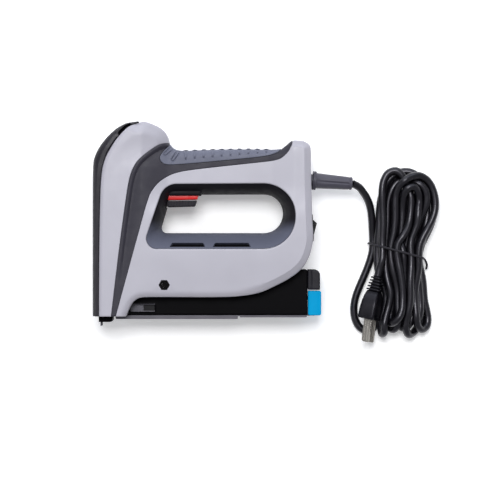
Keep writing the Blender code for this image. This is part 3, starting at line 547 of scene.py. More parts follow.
def away(points, line, closed=False):
    """Distance of each point from a line in the plane."""
    points = np.asarray(points, float)
    ends = np.vstack([line, line[:1]]) if closed else line
    best = np.full(len(points), 1e9)
    for a, b in zip(ends[:-1], ends[1:]):
        d = b - a
        t = np.clip((points - a) @ d / max(d @ d, 1e-12), 0, 1)
        best = np.minimum(best, lengths(points - a - t[:, None] * d))
    return best


def within(points, loop):
    """Which points lie inside the loop."""
    x, y = points[:, 0], points[:, 1]
    result = np.zeros(len(points), bool)
    for (x1, y1), (x2, y2) in zip(loop, np.roll(loop, -1, axis=0)):
        if y1 != y2:
            crossing = (y1 > y) != (y2 > y)
            result ^= crossing & (x < (x2 - x1) * (y - y1) / (y2 - y1) + x1)
    return result


def in_region(points, loops):
    """Which points lie inside the first loop and in none of the others."""
    inside = within(points, loops[0])
    for hole in loops[1:]:
        inside &= ~within(points, hole)
    return inside


def fade(value, low, high):
    """From 0 at low to 1 at high, without a kink."""
    t = np.clip((value - low) / (high - low), 0, 1)
    return t * t * (3 - 2 * t)


def make_mesh(name, points, faces, look, sharp=32, body="housing", inner_look=None):
    """A mesh in millimetres, shaded smooth except at sharp edges, that rides on a body.
    inner_look(centre) says which faces take the second material."""
    mesh = bpy.data.meshes.new(name)
    corners = [tuple(float(c) * MM for c in p) for p in points]
    mesh.from_pydata(corners, [], [tuple(map(int, f)) for f in faces])
    mesh.update()
    obj = add_object(name, mesh)
    for item in look if isinstance(look, (list, tuple)) else [look]:
        mesh.materials.append(item)
    if inner_look:
        for polygon in mesh.polygons:
            polygon.material_index = int(inner_look(polygon.center / MM))
    mesh.shade_smooth()
    mesh.set_sharp_from_angle(angle=math.radians(sharp))
    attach(obj, body)
    return obj


RINGS = (0.12, 0.3, 0.6, 1.1, 1.8, 2.7, 3.8, 5.2)  # distances of the rows of points along an edge
COARSE_FROM = 1.5  # rows further from the edge than this have every second point
GRID_ROW, GRID_GAP = 0.87, 0.55  # shares of the spacing: between grid rows, and from the last ring
CLEARANCE = 0.93  # share of its distance that a row's point keeps from every edge


def fill(loops, spacing, rings=RINGS):
    """Points and triangles that fill a plane region: the first loop outside, the others holes."""
    ring_points = []
    for loop in loops:
        normal = normals(loop)
        for distance in rings:
            for side in (1, -1):
                ring = loop + side * normal * distance
                if distance > COARSE_FROM:
                    ring = ring[::2]
                ring_points.append((ring, distance))
    low, high = loops[0].min(0), loops[0].max(0)
    xs = np.arange(low[0], high[0], spacing)
    ys = np.arange(low[1], high[1], spacing * GRID_ROW)
    grid = np.array([(x + (spacing / 2 if k % 2 else 0), y) for k, y in enumerate(ys) for x in xs])
    ring_points.append((grid, rings[-1] + GRID_GAP * spacing))
    kept = []
    for points, distance in ring_points:
        points = points[in_region(points, loops)]
        gap = np.min([away(points, loop, True) for loop in loops], axis=0)
        kept.append(points[gap > CLEARANCE * distance])
    edges, verts = [], []
    for loop in loops:
        start = len(verts)
        verts += [tuple(p) for p in loop]
        edges += [(start + k, start + (k + 1) % len(loop)) for k in range(len(loop))]
    rim = len(verts)
    verts += [tuple(p) for p in np.vstack(kept)]
    out = delaunay_2d_cdt([Vector(v) for v in verts], edges, [], 0, 1e-5)
    points = np.array([tuple(v) for v in out[0]])
    faces = np.array([f for f in out[2] if len(f) == 3])
    faces = faces[in_region(points[faces].mean(1), loops)]
    first, second, third = (points[faces[:, k]] for k in range(3))
    area = np.cross(second - first, third - first)
    faces[area < 0] = faces[area < 0][:, ::-1]
    source = {}
    for new, old in enumerate(out[3]):
        for k in old:
            if k < rim:
                source[k] = new
    counts = np.cumsum([0] + [len(loop) for loop in loops])
    rims = [[source[k] for k in range(a, b)] for a, b in zip(counts[:-1], counts[1:])]
    return points, faces, rims


def relief(loops, height, spacing, walls, rings=RINGS, gap_test=None):
    """A surface over a region of the plan, above the parting plane, with a wall down from each loop.
    A wall is the levels that it has rows at, downwards. gap_test leaves faces of the wall out."""
    plan, faces, rims = fill(loops, spacing, rings)
    points = [(x, y, z) for (x, y), z in zip(plan, height(plan))]
    faces = [tuple(f) for f in faces]
    for number, (rim, levels) in enumerate(zip(rims, walls)):
        above = rim
        turn = np.cross(plan[rim], np.roll(plan[rim], -1, axis=0)).sum() > 0
        for level in levels:
            start = len(points)
            for k in rim:
                x, y, z = points[k]
                points.append((x, y, min(z - 0.02, level if level >= 0 else z + level)))
            row = list(range(start, start + len(rim)))
            for k in range(len(rim)):
                n = (k + 1) % len(rim)
                face = (above[k], row[k], row[n], above[n])
                centre = np.mean([points[v] for v in face], axis=0)
                if gap_test is None or not gap_test(centre):
                    faces.append(face if turn == (number == 0) else face[::-1])
            above = row
    return points, faces


def half(side, name, points, faces, look, replaced, sharp=32, inner_look=None):
    """A piece of the upper half, or its mirror image below the parting plane."""
    flip = 1 if side == "upper" else -1
    moved = [(x, y, MID + flip * z) for x, y, z in points]
    turned = faces if flip == 1 else [f[::-1] for f in faces]
    test = inner_look and (lambda c: inner_look((c[0], c[1], flip * (c[2] - MID))))
    obj = make_mesh(f"{side}_{name}", moved, turned, look, sharp, "housing", test)
    if replaced:
        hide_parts(f"{side}_{replaced}")
    return obj


def both_halves(name, points, faces, look, replaced, sharp=32, inner_look=None):
    """The same piece on the upper and on the lower half."""
    for side in ("upper", "lower"):
        half(side, name, points, faces, look, replaced, sharp, inner_look)


# ---- shape of the housing

BODY_H, HANDLE_H, REAR_H = 24, 19, 22  # over the parting plane
FOOT_Y = -71.8
ROCKER_Y = -3.5


def edge_line(knots):
    """A smooth edge in the plan, with a point every millimetre."""
    return spline(knots, 1)


FRONT = edge_line([
    (-82.8, FOOT_Y), (-82.6, -30), (-82, 11), (-80.9, 36), (-77.9, 49.6), (-71.6, 61.2),
    (-65.5, 69.1), (-59.4, 74.6), (-52.6, 77.6),
])
HEAD_TOP = edge_line([
    (-52.6, 77.6), (-47.6, 78.4), (-40, 75.9), (-33.9, 72.5), (-30.6, 67.9), (-29.2, 62.3),
])
HEAD_EDGE = edge_line([
    (-29.2, 62.3), (-36.6, 60.6), (-45.9, 54.2), (-53.1, 47.5), (-57.3, 39.9), (-60, 30),
    (-62.9, 10.8), (-67.2, -21.6), (-73.2, FOOT_Y),
])
LOWER_EDGE = edge_line([
    (-69.7, FOOT_Y), (-59.6, -34.5), (-52.6, -8.9), (-45.8, 15.3), (-41.5, 25.6), (-33.2, 34.1),
    (-20.6, 39.5), (4.8, 43), (30.4, 45.8), (53, 48.6), (60.6, 52.7), (64.9, 58.4), (66.6, 64.1),
])
HANDLE_TOP = edge_line([
    (66.6, 64.1), (64.3, 62.9), (60.8, 59.9), (54.8, 57.3), (30.2, 57.4), (10.8, 57.2), (-5, 56.7),
    (-19, 56.3), (-25.2, 58), (-29.2, 62.3),
])
REAR = joined(
    edge_line([
        (-62.2, FOOT_Y), (-59.6, -66), (-57, -61.3), (-53, -58.2), (-47.4, -57),
        (-30, -56.9), (4.4, -57), (23.7, -56.4), (40.6, -53.6), (53.5, -48.1), (65.1, -41.8),
        (74, -34.4), (79.2, -25.6), (81.8, -15.8), (82.3, -8.5), (81.6, 4.5), (80.9, 30), (80.6, 45),
        (80.5, 57), (79, 61), (74.8, 63.6),
    ]),
    edge_line([(74.8, 63.6), (70, 64), (66.6, 64.1)]),
)
OPENING_RIM = [(-49.3, -19.7, 8), (68.4, -19.7, 25), (68.4, 30.8, 26), (-32.4, 30.2, 13)]
OPENING_NARROW = [(-36.6, -7.4, 4), (59.1, -7.4, 15), (59.1, 22.6, 15), (-27.8, 22.4, 3)]
OPENING_LOOP = arcs(OPENING_RIM)


def broad_side(x, y):
    """Height of the body over the parting plane, without its edges."""
    handle = np.interp(x, [-50, -30, 50, 68], [BODY_H, HANDLE_H, HANDLE_H, REAR_H])
    share = fade(y, 2, 30)
    body = BODY_H - 1.0 * fade(-y, 22, 60) * fade(x, -58, -30)
    return body + (handle - body) * share


def ridge(distance, width=1):
    """1 at no distance, falling straight to 0 over the width."""
    return np.clip(1 - distance / width, 0, 1)


def round_edge(distance, radius):
    """How far a rounded edge lies below its top, at a distance from its border."""
    inner = np.clip(radius - distance, 0, radius)
    return radius - np.sqrt(np.maximum(radius**2 - inner**2, 0))


def round_border(plan, loop, radius):
    """The same for a closed border."""
    return round_edge(away(plan, loop, True), radius)


def shell_height(plan):
    """Height of the shell: rounded edges, a crease along the head and a chamfer round the rear."""
    x, y = plan.T
    z = broad_side(x, y)
    front = away(plan, FRONT)
    z -= round_edge(front, 3)
    top = away(plan, HEAD_TOP)
    z -= 5.0 * ridge(top, 8.5) + round_edge(top, 1.2)
    edge = away(plan, HEAD_EDGE)
    crease = 2.4 * ridge(edge, 17) * fade(y, 38, 66)
    z -= np.where(x < -29, crease, 0)
    rear = away(plan, REAR)
    chamfer = fade(x, 18, 52) * fade(66 - y, 0, 6)
    z -= 4.2 * ridge(rear, 5.2) * chamfer + round_edge(rear, 4.6 - 3.2 * chamfer)
    seam = np.minimum(edge, away(plan, LOWER_EDGE))
    z -= round_edge(seam, 0.45)
    z -= round_edge(y - FOOT_Y, 0.8)
    z -= round_border(plan, OPENING_LOOP, 0.9)
    return z


def in_housing_window(centre):
    """Where the wall is open: the rocker's window, and the magazine's channel along the bottom."""
    x, y, z = centre
    rocker = x > 78 and abs(y - ROCKER_Y) < 9.9 and z < 6.9
    channel = y < -34.8 and z < 7.9 and x > -95
    return rocker or channel


WALL_ROWS = (7.9, 6.9, 0.15)
head_loop = joined(FRONT, HEAD_TOP, HEAD_EDGE, edge_line([HEAD_EDGE[-1], (-78, FOOT_Y), FRONT[0]]))
main_loop = joined(REAR, LOWER_EDGE[::-1], edge_line([LOWER_EDGE[0], (-66, FOOT_Y), REAR[0]]))


def shrunk(loop, distance):
    """The loop moved inwards a little."""
    area = np.cross(loop, np.roll(loop, -1, axis=0)).sum()
    return loop + np.sign(area) * distance * normals(loop)


SCREWS = [(-46, 68), (-76.5, 40), (73.5, 55), (67, -30), (-54, -42), (16, 36.5)]
HEAD_SCREWS = 2  # so many of them are in the head
SCREW_HOLE = (3.1, (10.2,))  # radius and the level of its floor
BOLT = (-32.4, -47.5)


def ring(centre, radius, sides=28):
    angles = np.arange(sides) * math.tau / sides
    return np.stack([centre[0] + radius * np.cos(angles), centre[1] + radius * np.sin(angles)], 1)


def shell_pieces(side):
    """The front and the main part of a shell half, with the holes of that side."""
    if side == "upper":
        hexagon = ring(BOLT, 4.4, 6)
        holes = [(joined(*[hexagon[k:k + 2] if k < 5 else hexagon[[5, 0]] for k in range(6)]), (19.5,))]
        front_holes = []
    else:
        radius, rows = SCREW_HOLE
        screw_holes = [(ring(screw, radius), rows) for screw in SCREWS]
        holes = screw_holes[HEAD_SCREWS:] + [(ring(BOLT, 4), (19.6,))]
        front_holes = screw_holes[:HEAD_SCREWS]
    rim = (shrunk(OPENING_LOOP, -0.15), (-1, -2.5))
    points, faces = [], []
    for loop, inner in ((head_loop, front_holes), (main_loop, [rim, *holes])):
        loops = [shrunk(loop, 0.12), *[hole for hole, _ in inner]]
        walls = [WALL_ROWS, *[rows for _, rows in inner]]
        more, more_faces = relief(loops, shell_height, 1.9, walls, gap_test=in_housing_window)
        faces += [tuple(v + len(points) for v in f) for f in more_faces]
        points += more
    half(side, "shell_skin", points, faces, SHELL, "shell")


for side in ("upper", "lower"):
    shell_pieces(side)

# Overmould and grip panel
GRIP_EDGE = edge_line([
    (57.4, 57), (53.5, 54.2), (43.1, 51.4), (17.3, 48.7), (-15.1, 45.8), (-29, 45.1),
    (-34.2, 46.8), (-35.9, 50.6), (-33.8, 54.6), (-28, 60.6),
])
RIB_STEP = 6.9
RIBS = [(-16.0 + k * RIB_STEP, 49.4 + 0.58 * k) for k in range(10)]
SLOTS = [((-31.6, 53.4), (-26.6, 57.8)), ((-25.9, 48.9), (-22.2, 54.4))]


def split_at(line, point):
    """The number of the line's point that is nearest to this one."""
    return int(lengths(line - np.array(point)).argmin())


grip_right = split_at(HANDLE_TOP, GRIP_EDGE[0])
grip_left = split_at(HANDLE_TOP, GRIP_EDGE[-1])
overmould_loop = joined(
    HEAD_EDGE, edge_line([HEAD_EDGE[-1], LOWER_EDGE[0]]), LOWER_EDGE, HANDLE_TOP[:grip_right], GRIP_EDGE,
    HANDLE_TOP[grip_left + 1:],
)


def overmould_height(plan):
    """Height of the overmould: a groove beside the head's edge, with a fine ridge in front of it."""
    x, y = plan.T
    z = broad_side(x, y) - 0.2
    z -= round_edge(away(plan, HANDLE_TOP), 6)
    edge = away(plan, HEAD_EDGE)
    room = fade(y, -66, 0)
    hollow = 1.5 * ridge(np.abs(edge - 4.4), 10) ** 2 * fade(edge, 2.3, 4) * room
    z -= np.where(x < 10, hollow, 0)
    z += 0.35 * ridge(np.abs(edge - 1.5), 0.8) * room
    seam = np.minimum(edge, away(plan, LOWER_EDGE))
    seam = np.minimum(seam, away(plan, GRIP_EDGE))
    z -= round_edge(seam, 0.45) + round_edge(y - FOOT_Y, 0.8)
    return z


def grip_height(plan):
    """Height of the grip panel: drop-shaped ribs with a pit at their lower end, and two outlined slots."""
    x, y = plan.T
    ribs = np.zeros_like(x)
    z = broad_side(x, y) + 0.25 - round_edge(away(plan, HANDLE_TOP), 6)
    for rib_x, rib_y in RIBS:
        width = 0.55 + 1.85 * np.clip((y - rib_y) / (58.6 - rib_y), 0, 1)
        ribs += 0.6 * ridge(((x - rib_x) / width) ** 2) * fade(y, rib_y - 0.2, rib_y + 1.6)
    z += ribs
    for rib_x, rib_y in RIBS:
        z -= 1.1 * np.exp(-((x - rib_x) ** 2 + (y - rib_y) ** 2) / 0.32)
    for start, end in SLOTS:
        far = away(plan, np.array([start, end]))
        z -= 0.9 * ridge((np.abs(far - 1.15) / 0.5) ** 2)
    z -= round_edge(away(plan, GRIP_EDGE), 0.6)
    return z


points, faces = relief([shrunk(overmould_loop, 0.12)], overmould_height, 1.3, [(-0.7, 0.15)])
both_halves("overmould_skin", points, faces, OVERMOULD, "overmould")

grip_top = resample(HANDLE_TOP[grip_right:grip_left + 1], 0.5)
for rib_x, _ in RIBS:
    grip_top[:, 1] += 0.55 * ridge(((grip_top[:, 0] - rib_x) / 2.4) ** 2)
grip_loop = joined(grip_top, GRIP_EDGE[::-1])
GRIP_RINGS = (0.12, 0.35, 0.8, 1.4, 2.2)
points, faces = relief([shrunk(grip_loop, 0.15)], grip_height, 0.55, [(-0.7, 0.15)], GRIP_RINGS)
both_halves("grip_ribs", points, faces, GRIP, "grip_pad")


# ---- liner of the finger opening

VENTS = [(-28, -1.2), (5.2, 33.8)]
VENT_LOW, VENT_HIGH = -18, -15.2


def vent_mask(x, y):
    """1 inside the vent slots, whose ends slant, and 0 outside."""
    mask = np.zeros_like(x)
    slant = (VENT_HIGH - y) * 0.55
    for left, right in VENTS:
        from_left = fade(x, left + 1.4 - slant, left + 2.0 - slant)
        from_right = fade(-x, -right + 1.4 - slant, -right + 2.0 - slant)
        mask = np.maximum(mask, from_left * from_right)
    from_low = fade(y, VENT_LOW - 0.2, VENT_LOW + 0.2)
    from_high = fade(-y, -VENT_HIGH - 0.2, -VENT_HIGH + 0.2)
    return mask * from_low * from_high


VENT_DEPTH = 4.5
VENT_BACK_Y, VENT_BACK_Z = -16.4, 20.5  # the faces painted black as shade lie below both


def trigger_gap(x, y, z):
    """Where the liner is cut out for the trigger's hood and for its pin's lug."""
    slot = -32.1 < x < -5.4 and y > 12 and z < 7.6
    lug = x < -24 and y > 20 and z < 4.6
    return slot or lug


# Painted shade: the faces at the back of a vent slot take the black.
def in_painted_vent_shade(centre):
    x, y, z = centre
    masked = vent_mask(np.array([x]), np.array([y + 0.5]))[0] > 0.5
    return masked and z < VENT_BACK_Z and y < VENT_BACK_Y


def liner():
    """Rows of points down the funnel, from its rim to its narrow part at the parting plane."""
    steps = (8, (160, 30, 100, 50))
    rim = matched(OPENING_RIM, *steps)
    narrow = matched(OPENING_NARROW, *steps)
    rim_z = broad_side(*rim.T) - 0.1
    points = []
    shares = np.concatenate([[0, 0.012], np.linspace(0.03, 0.42, 20), np.linspace(0.46, 1, 16)])
    for share in shares:
        across = 0.45 * share + 0.55 * math.sin(share * math.pi / 2)
        down = 0.45 * share + 0.55 * (1 - math.cos(share * math.pi / 2))
        plan = rim + (narrow - rim) * across
        z = rim_z + (0.15 - rim_z) * down
        z = z - 0.35 * max(0, 1 - share / 0.012)
        mask = vent_mask(*plan.T)
        recess = np.stack([plan[:, 0], plan[:, 1] - 1.2 * mask, z - VENT_DEPTH * mask], 1)
        points += [tuple(p) for p in recess]
    faces = [
        face for face in grid_faces(len(shares), len(rim))
        if not trigger_gap(*np.mean([points[v] for v in face], axis=0))
    ]
    # The backs of the vents take the painted shade black.
    both_halves("liner_skin", points, faces, [LINER, PAINTED_SHADE], "liner", 40, in_painted_vent_shade)


liner()


# ---- symmetrical bodies


def mirrored(points, faces):
    """A surface above the parting plane and its mirror image, as one body."""
    count = len(points)
    both = [(x, y, MID + z) for x, y, z in points] + [(x, y, MID - z) for x, y, z in points]
    return both, [*faces, *[tuple(v + count for v in f[::-1]) for f in faces]]


def slab(
    name, loops, height, look, body, replaced, walls=None, spacing=1.2, rings=RINGS, keep=None,
    inner_look=None,
):
    """A body symmetrical about the parting plane, from its upper surface over a region of the plan."""
    points, faces = relief(loops, height, spacing, walls or [(0,)] * len(loops), rings)
    if keep:
        faces = [f for f in faces if keep(*np.mean([points[v] for v in f], axis=0))]
    obj = make_mesh(name, *mirrored(points, faces), look, 32, body, inner_look)
    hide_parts(replaced)


FINE_RINGS = (0.05, 0.15, 0.3, 0.5, 0.8, 1.2)

# Trigger, its pad and the hood that it moves in
lever_corners = [
    (-30.4, 18, 0.6), (-7.4, 18.6, 0.6), (-6.6, 22, 1), (-7.4, 28.2, 1), (-31, 28.2, 1),
    (-33.6, 30.6, 2), (-39.4, 30.6, 3), (-39.4, 23.6, 3), (-31.4, 23.6, 0.4),
]
lever_loop = arcs(lever_corners, 0.5)


def lever_height(plan):
    x, y = plan.T
    z = np.where(x < -31.2, 4, 7) - round_border(plan, lever_loop, 0.8)
    return z - np.where(x > -31.2, 0.9 * np.clip((20.6 - y) / 3, 0, 1) ** 2, 0)


slab("trigger_lever", [lever_loop], lever_height, RED, "trigger", "trigger", None, 0.8, FINE_RINGS)
pad_loop = arcs([(-31.4, 12.6, 1.6), (-9.4, 13.2, 1.6), (-7.7, 17.9, 0.4), (-30.7, 17.4, 0.4)], 0.4)


def pad_height(plan):
    x = plan[:, 0]
    z = 7.2 - round_border(plan, pad_loop, 0.9)
    lines = np.abs(((x + 31) / 2.2) % 1 - 0.5)
    return z - 0.25 * ridge(lines, 0.16)


slab("trigger_pad_skin", [pad_loop], pad_height, RUBBER, "trigger", "trigger_pad", None, 0.5, FINE_RINGS)
hood_loop = arcs([(-35, 21.6, 0.8), (-4.9, 21.6, 0.8), (-2.4, 26.6, 0.8), (-35, 26.6, 0.5)], 0.5)


def hood_height(plan):
    return 10.4 - round_border(plan, hood_loop, 2.2)


points, faces = relief([hood_loop], hood_height, 0.9, [(7.75,)])
both_halves("trigger_hood", points, faces, LINER, None)

# Magazine, end cap and latch
magazine_loop = arcs([
    (-81.2, -71, 0.2), (78.1, -71, 0.4), (78.1, -35.6, 1.5), (71, -35.6, 1), (51, -50, 4),
    (-81.2, -50, 0.2),
], 1.2)
window_loop = arcs([
    (-59.4, -67.7, 0.4), (-40.6, -67.7, 0.4), (-40.6, -63, 0.4), (-59.4, -63, 0.4),
], 0.6)


def magazine_height(plan):
    z = 7.5 - round_border(plan, magazine_loop, 0.7)
    lip = away(plan, window_loop, True)
    return z + 0.22 * ridge((np.abs(lip - 0.55) / 0.45) ** 2)


def bright_lip(centre):
    """The edges above and below the window, in the lighter steel."""
    x, y, z = centre
    return -59 < x < -40 and (abs(y + 62.65) < 0.3 or abs(y + 68.05) < 0.3) and abs(z - MID) > 7.3


def steel_left(x, y, z):
    """The channel is open downwards and at its rear end."""
    open_below = y < -70.8 and z < 6.4
    open_behind = x > 77.7 and y < -52.6 and z < 6.4
    return not (open_below or open_behind)


slab(
    "magazine_channel", [magazine_loop, window_loop], magazine_height, [BLACK_STEEL, RAIL], "housing",
    "magazine_body", [(6.6, 0), (6.5,)], 1.6, keep=steel_left, inner_look=bright_lip,
)
cap_loop = arcs([(78.3, -51.5, 0.8), (87.9, -51.5, 0.8), (87.9, -35.6, 5.6), (78.3, -35.6, 0.5)], 0.5)


def cap_height(plan):
    x = plan[:, 0]
    z = 8.5 - round_border(plan, cap_loop, 1.1)
    return z - 0.9 * fade(-x, -81.2, -80.9) - 0.5 * np.exp(-(((x - 81.4) / 0.3) ** 2))


slab("magazine_cap", [cap_loop], cap_height, CAP, "housing", "magazine_end_cap", spacing=0.7)
latch_loop = arcs([(78.6, -71.4, 1.6), (88.8, -71.4, 1.6), (88.8, -52.4, 1.2), (78.6, -52.4, 0.8)], 0.5)


def latch_height(plan):
    x = plan[:, 0]
    z = 8.0 - round_border(plan, latch_loop, 0.9)
    z -= 0.35 * fade(-x, -80.3, -80)
    return z - 0.3 * fade(x, 86.6, 87)


slab(
    "latch_lever", [latch_loop], latch_height, BLUE, "latch", "latch", [(4.1, 0)], 0.7,
    keep=lambda x, y, z: z > 3.9 or x > 86.2 or y > -53,
)


# ---- strip over the front of the head

STRIP_OUTER = spline([
    (-87.8, -71.6), (-88, -66), (-88, -20), (-88, 20), (-87.7, 44.4), (-86.4, 51.6),
    (-83.3, 58.3), (-78.9, 64.5), (-73.6, 70.2), (-68.2, 74.4), (-62.6, 77.2), (-57.6, 78.3),
    (-52.6, 78.6),
], 1)


STRIP_TOP = 22.0
# Share of the way outwards and drop; the first two rows are the floor of the groove, painted black as
# shade
STRIP_SECTION = (
    (0, None), (0, None), (0, -0.35), (0.07, 0), (0.42, -0.15), (0.46, -0.45), (0.70, -1.6),
    (0.88, -3.4), (0.97, -5.4), (1, -7.6), (1, -14), (1, -22),
)


def strip():
    """The strip's section: a flat inner facet, a rounded outer one, and a step down to the shell."""
    count = 220
    share = np.linspace(0, 1, count)

    def evenly(line):
        line = resample(line, 0.25)
        places = share * (len(line) - 1)
        return np.stack([np.interp(places, np.arange(len(line)), line[:, k]) for k in (0, 1)], 1)

    outer = evenly(STRIP_OUTER)
    inner = evenly(spline([*FRONT[::4], (-51.9, 78)], 0.5))
    notch = fade(inner[:, 0], -67.4, -66.6) * fade(-inner[:, 0], 57, 58.2)
    groove = fade(inner[:, 1], 46, 56) * (1 - fade(inner[:, 0], -68.4, -67.6))
    step = 0.12 + 0.75 * groove + 2.5 * notch
    top = STRIP_TOP - 2.2 * fade(inner[:, 1], 40, 79)
    width = lengths(outer - inner)
    step = np.minimum(step, 0.6 * width)
    across = (outer - inner) / np.maximum(width, 1e-6)[:, None]
    rows = []
    for along, drop in STRIP_SECTION:
        base = inner + across * (step + (width - step) * along)[:, None]
        if not rows:
            base = inner
        if drop is None:
            z = top - (0.6 + 4.4 * notch)
        elif drop > -10:
            z = top + drop * np.minimum(1, width / 3)
        else:
            z = top * (1 + drop / STRIP_TOP)
        rows.append(np.column_stack([base, np.maximum(z, 0)]))
    points = [tuple(p) for row in rows for p in row]
    faces = list(grid_faces(len(rows), count, closed=False))
    closing = [r * count for r in range(len(rows))]
    points.append((*inner[0], 0))
    faces.append((len(points) - 1, *closing))
    both, all_faces = mirrored(points, faces)
    obj = make_mesh("front_strip", both, all_faces, [BUMPER, PAINTED_SHADE], 30)
    # Painted shade: the floor of the groove takes the black.
    for polygon in obj.data.polygons:
        local = [v % len(points) for v in polygon.vertices]
        polygon.material_index = int(all(v // count < 2 for v in local))
    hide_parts("front_bumper")


strip()


# ---- rocker frame, boot, plug and tie


def sweep_rows(name, rows, look, sharp=32, caps=()):
    """A body on the housing from closed rows of points; caps are the rows that are closed by a face."""
    size = len(rows[0])
    points = [tuple(p) for row in rows for p in row]
    faces = list(grid_faces(len(rows), size))
    for row in caps:
        start = (row % len(rows)) * size
        face = tuple(range(start, start + size))
        faces.append(face if row else face[::-1])
    obj = make_mesh(name, points, faces, look, sharp)
    bm = bmesh.new()
    bm.from_mesh(obj.data)
    bmesh.ops.recalc_face_normals(bm, faces=bm.faces)
    bm.to_mesh(obj.data)
    bm.free()
    return obj


# Half width, half height and corner radius, and how far it stands out of the wall
ROCKER_SECTIONS = (
    (9.7, 6.7, 1.2, -2), (9.7, 6.7, 1.2, 0.1), (10.6, 7.6, 1.8, 0.1), (10.5, 7.5, 1.8, 0.6),
    (10.2, 7.2, 1.6, 0.8), (8.5, 5.8, 1, 0.8), (8.2, 5.5, 0.9, 0.55), (8.1, 5.4, 0.8, -4.5),
)


def rocker_frame():
    """A frame that follows the rear wall."""
    side = REAR[(REAR[:, 0] > 79) & (REAR[:, 1] > -24) & (REAR[:, 1] < 50)]
    rows = []
    for half_y, half_z, radius, out in ROCKER_SECTIONS:
        row = []
        for y, z in matched(box_corners(half_y, half_z, radius), 5, (10, 8, 10, 8)):
            wall = np.interp(y + ROCKER_Y, side[:, 1], side[:, 0])
            row.append((wall + out, y + ROCKER_Y, MID + z))
        rows.append(row)
    sweep_rows("rocker_frame", rows, PLASTIC)


rocker_frame()


# Radius and place along the axis: the flange in the wall, a collar, the sleeve and its end
BOOT_PROFILE = (
    (0.2, 0), (7, 0), (7, 2.6), (4.9, 2.6), (4.9, 9.1), (7, 9.1), (7.35, 9.4), (7.35, 10),
    (6.9, 10.15), (6.9, 10.45), (7.35, 10.6), (7.35, 11.4), (7.1, 11.8), (6.2, 12), (6, 12.6),
    (5.9, 16), (5.65, 22), (5.4, 28), (5.15, 34), (5, 37.4), (4.75, 37.7), (4.75, 38.1),
    (5.1, 38.4), (5.05, 39.6), (4.5, 40.2), (3.5, 40.3), (3.2, 39.4),
)


def boot():
    """The strain relief, with a moulded groove along its sleeve."""
    side = BOOT_AXIS.cross(Vector((0, 0, 1))).normalized()
    up = side.cross(BOOT_AXIS).normalized()
    rows = []
    for radius, along in BOOT_PROFILE:
        row = []
        for k in range(64):
            angle = k * math.tau / 64
            groove = 0.9 * math.exp(-((math.cos(angle) + 0.07) / 0.12) ** 2) * (math.sin(angle) > 0)
            r = radius - groove * (13 < along < 37.7)
            place = BOOT_START + BOOT_AXIS * along - side * r * math.cos(angle) + up * r * math.sin(angle)
            row.append(tuple(place))
        rows.append(row)
    obj = sweep_rows("cord_boot_skin", rows, BOOT, 28, caps=(0,))
    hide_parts("cord_boot")


boot()


def plug_section(half_x, half_z, radius, along):
    corners = box_corners(half_x, half_z, radius)
    return [tuple(plug_point(x, along, z)) for x, z in matched(corners, 5, (8, 12, 8, 12))]


PLUG_BODY = [
    (3.2, 8, 1.5, 0), (6.1, 10.3, 1.6, 0), (6.6, 10.8, 1.8, 0.3), (6.9, 11, 1.8, 0.9),
    (6.9, 11, 1.8, 2), (6.5, 10.6, 1.6, 2.4), (6.4, 10.6, 1.6, 9), (6.1, 9.8, 1.6, 14),
    (5.5, 8.2, 1.6, 18.5), (5, 6.4, 1.8, 21.3), (4.7, 5.4, 2, 22.2),
]
PLUG_END = [(3.3, 3.3, 2.4, 34.2), (3.05, 3.05, 2.6, 34.6)]
PLUG_RIBS, RIB_START, RIB_PITCH = 5, 22.7, 2.35
RIB_SIZE, RIB_TAPER, RIB_HEIGHT = 5.9, 0.32, 1.9


def plug():
    """The plug's body with its ribbed end."""
    sections = list(PLUG_BODY)
    for k in range(PLUG_RIBS):
        start = RIB_START + k * RIB_PITCH
        size = RIB_SIZE - RIB_TAPER * k
        foot = size - RIB_HEIGHT
        for half_size, radius, after in (
            (foot, 2, 0), (size - 0.15, 2.4, 0.15), (size, 2.4, 0.45), (size, 2.4, 1),
            (size - 0.15, 2.4, 1.3), (foot, 2, 1.45),
        ):
            sections.append((half_size, half_size, radius, start + after))
    sections += PLUG_END
    obj = sweep_rows("plug_skin", [plug_section(*s) for s in sections], PLUG, 30, caps=(0, -1))
    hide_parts("plug_body")
    return obj


BLADE_SHIFT, BLADE_LEAN = 1.5, 0.087  # of both blades to the right, and more of it towards the tip
BLADE_HALF_SPACING = 6.35


def blade(number, height):
    """A flat blade with a rounded tip, bevelled edges and a shallow coined line."""
    outline = arcs([(-3.17, -17.8, 1.7), (3.17, -17.8, 1.7), (3.17, 3, 0.2), (-3.17, 3, 0.2)], 0.5)

    def top(plan):
        z = 0.76 - round_border(plan, outline, 0.45)
        line = np.abs(np.abs(plan[:, 0]) - 1.15)
        return z - 0.16 * ridge(line, 0.22) * fade(plan[:, 1], -16.5, -15.5)

    points, faces = relief([outline], top, 0.45, [(0,)], (0.08, 0.2, 0.35, 0.5, 0.8))
    both, all_faces = mirrored(points, faces)
    placed = [
        tuple(plug_point(x + BLADE_SHIFT - BLADE_LEAN * y, y, z - MID + height)) for x, y, z in both
    ]
    obj = make_mesh(f"blade_skin_{number}", placed, all_faces, NICKEL, 30)
    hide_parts(f"plug_blade_{number}")
    return obj


plug_pieces = [plug(), blade(1, -BLADE_HALF_SPACING), blade(2, BLADE_HALF_SPACING)]


TIE_R, TIE_LIFT, TIE_WIDE = 0.8, 3.75, 34  # wire, offset of its line from a run, reach to each side
TWIST_R, TWIST_TURN = 0.5, 0.62
TWIST_KNOTS = ((0, 0, 0), (1.4, -2.2, 1.4), (2.6, -5.4, -1.5), (2.4, -8.6, -5))


def hull_chain(points):
    """One side of the convex hull of sorted points."""
    hull = []
    for p in points:
        while len(hull) > 1 and np.cross(hull[-1] - hull[-2], p - hull[-1]) <= 0:
            hull.pop()
        hull.append(p)
    return hull[:-1]


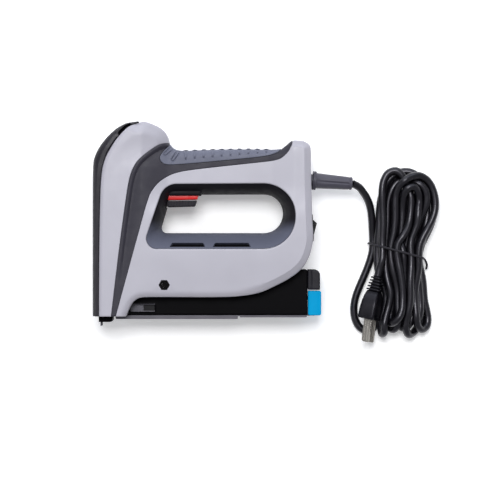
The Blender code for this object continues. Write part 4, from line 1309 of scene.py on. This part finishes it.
def tie():
    """Thin covered wire pulled round the hank, its ends twisted together at the right."""
    along = (TIE_RIGHT - TIE_LEFT).normalized()
    normal = Vector((along.y, -along.x))
    middle = (TIE_LEFT + TIE_RIGHT) / 2
    off = (cord_fine[:, :2] - np.array(middle)) @ np.array(normal)
    spots = []
    for k in np.nonzero(off[:-1] * off[1:] <= 0)[0]:
        t = off[k] / (off[k] - off[k + 1] + 1e-9)
        place = cord_fine[k] + (cord_fine[k + 1] - cord_fine[k]) * t
        reach = (place[:2] - np.array(middle)) @ np.array(along)
        if abs(reach) < TIE_WIDE:
            spots.append((reach, place[2]))
    turns = np.arange(36) * math.tau / 36
    rim = np.array([
        (a + TIE_LIFT * math.cos(t), max(TIE_R, z + TIE_LIFT * math.sin(t)))
        for a, z in spots for t in turns
    ])
    order = rim[np.lexsort((rim[:, 1], rim[:, 0]))]
    hull = np.array(hull_chain(order) + hull_chain(order[::-1]))
    hull = resample(np.vstack([hull, hull[:1]]), 1.5)[:-1]
    ring_line = [(middle.x + along.x * a, middle.y + along.y * a, z) for a, z in hull]
    wire_ring = curve_tube("tie_ring", ring_line, TIE_R, RUBBER, True, 3)
    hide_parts("cord_tie")
    right = max(spots)[0] + 3.4
    start = Vector((middle.x + along.x * right, middle.y + along.y * right, 9))
    ends = spline([start + Vector(knot) for knot in TWIST_KNOTS], 0.35)
    for number in (0, 1):
        twist = []
        for k, place in enumerate(ends):
            angle = k * TWIST_TURN + number * math.pi
            turned = np.array([math.cos(angle), 0.25 * math.sin(angle), math.sin(angle)])
            twist.append(place + TWIST_R * turned)
        curve_tube(f"tie_end_{number + 1}", twist, TWIST_R, RUBBER, False, 3)


tie()


# ---- springs inside, and the fired staple


def held_between(name, node):
    """A copy of the node's own shape, shaded smooth, that stands in for the node."""
    obj = add_object(name, frame["nodes"][node].data.copy())
    obj.data.shade_smooth()
    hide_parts(node)
    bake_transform(obj)


held_between("return_coil", "return_spring")
held_between("trigger_coil", "trigger_spring")
held_between(
    "follower_coil", "follower_spring",
)
held_between("latch_coil", "latch_spring")
held_between("driven_staple", "fired_staple")
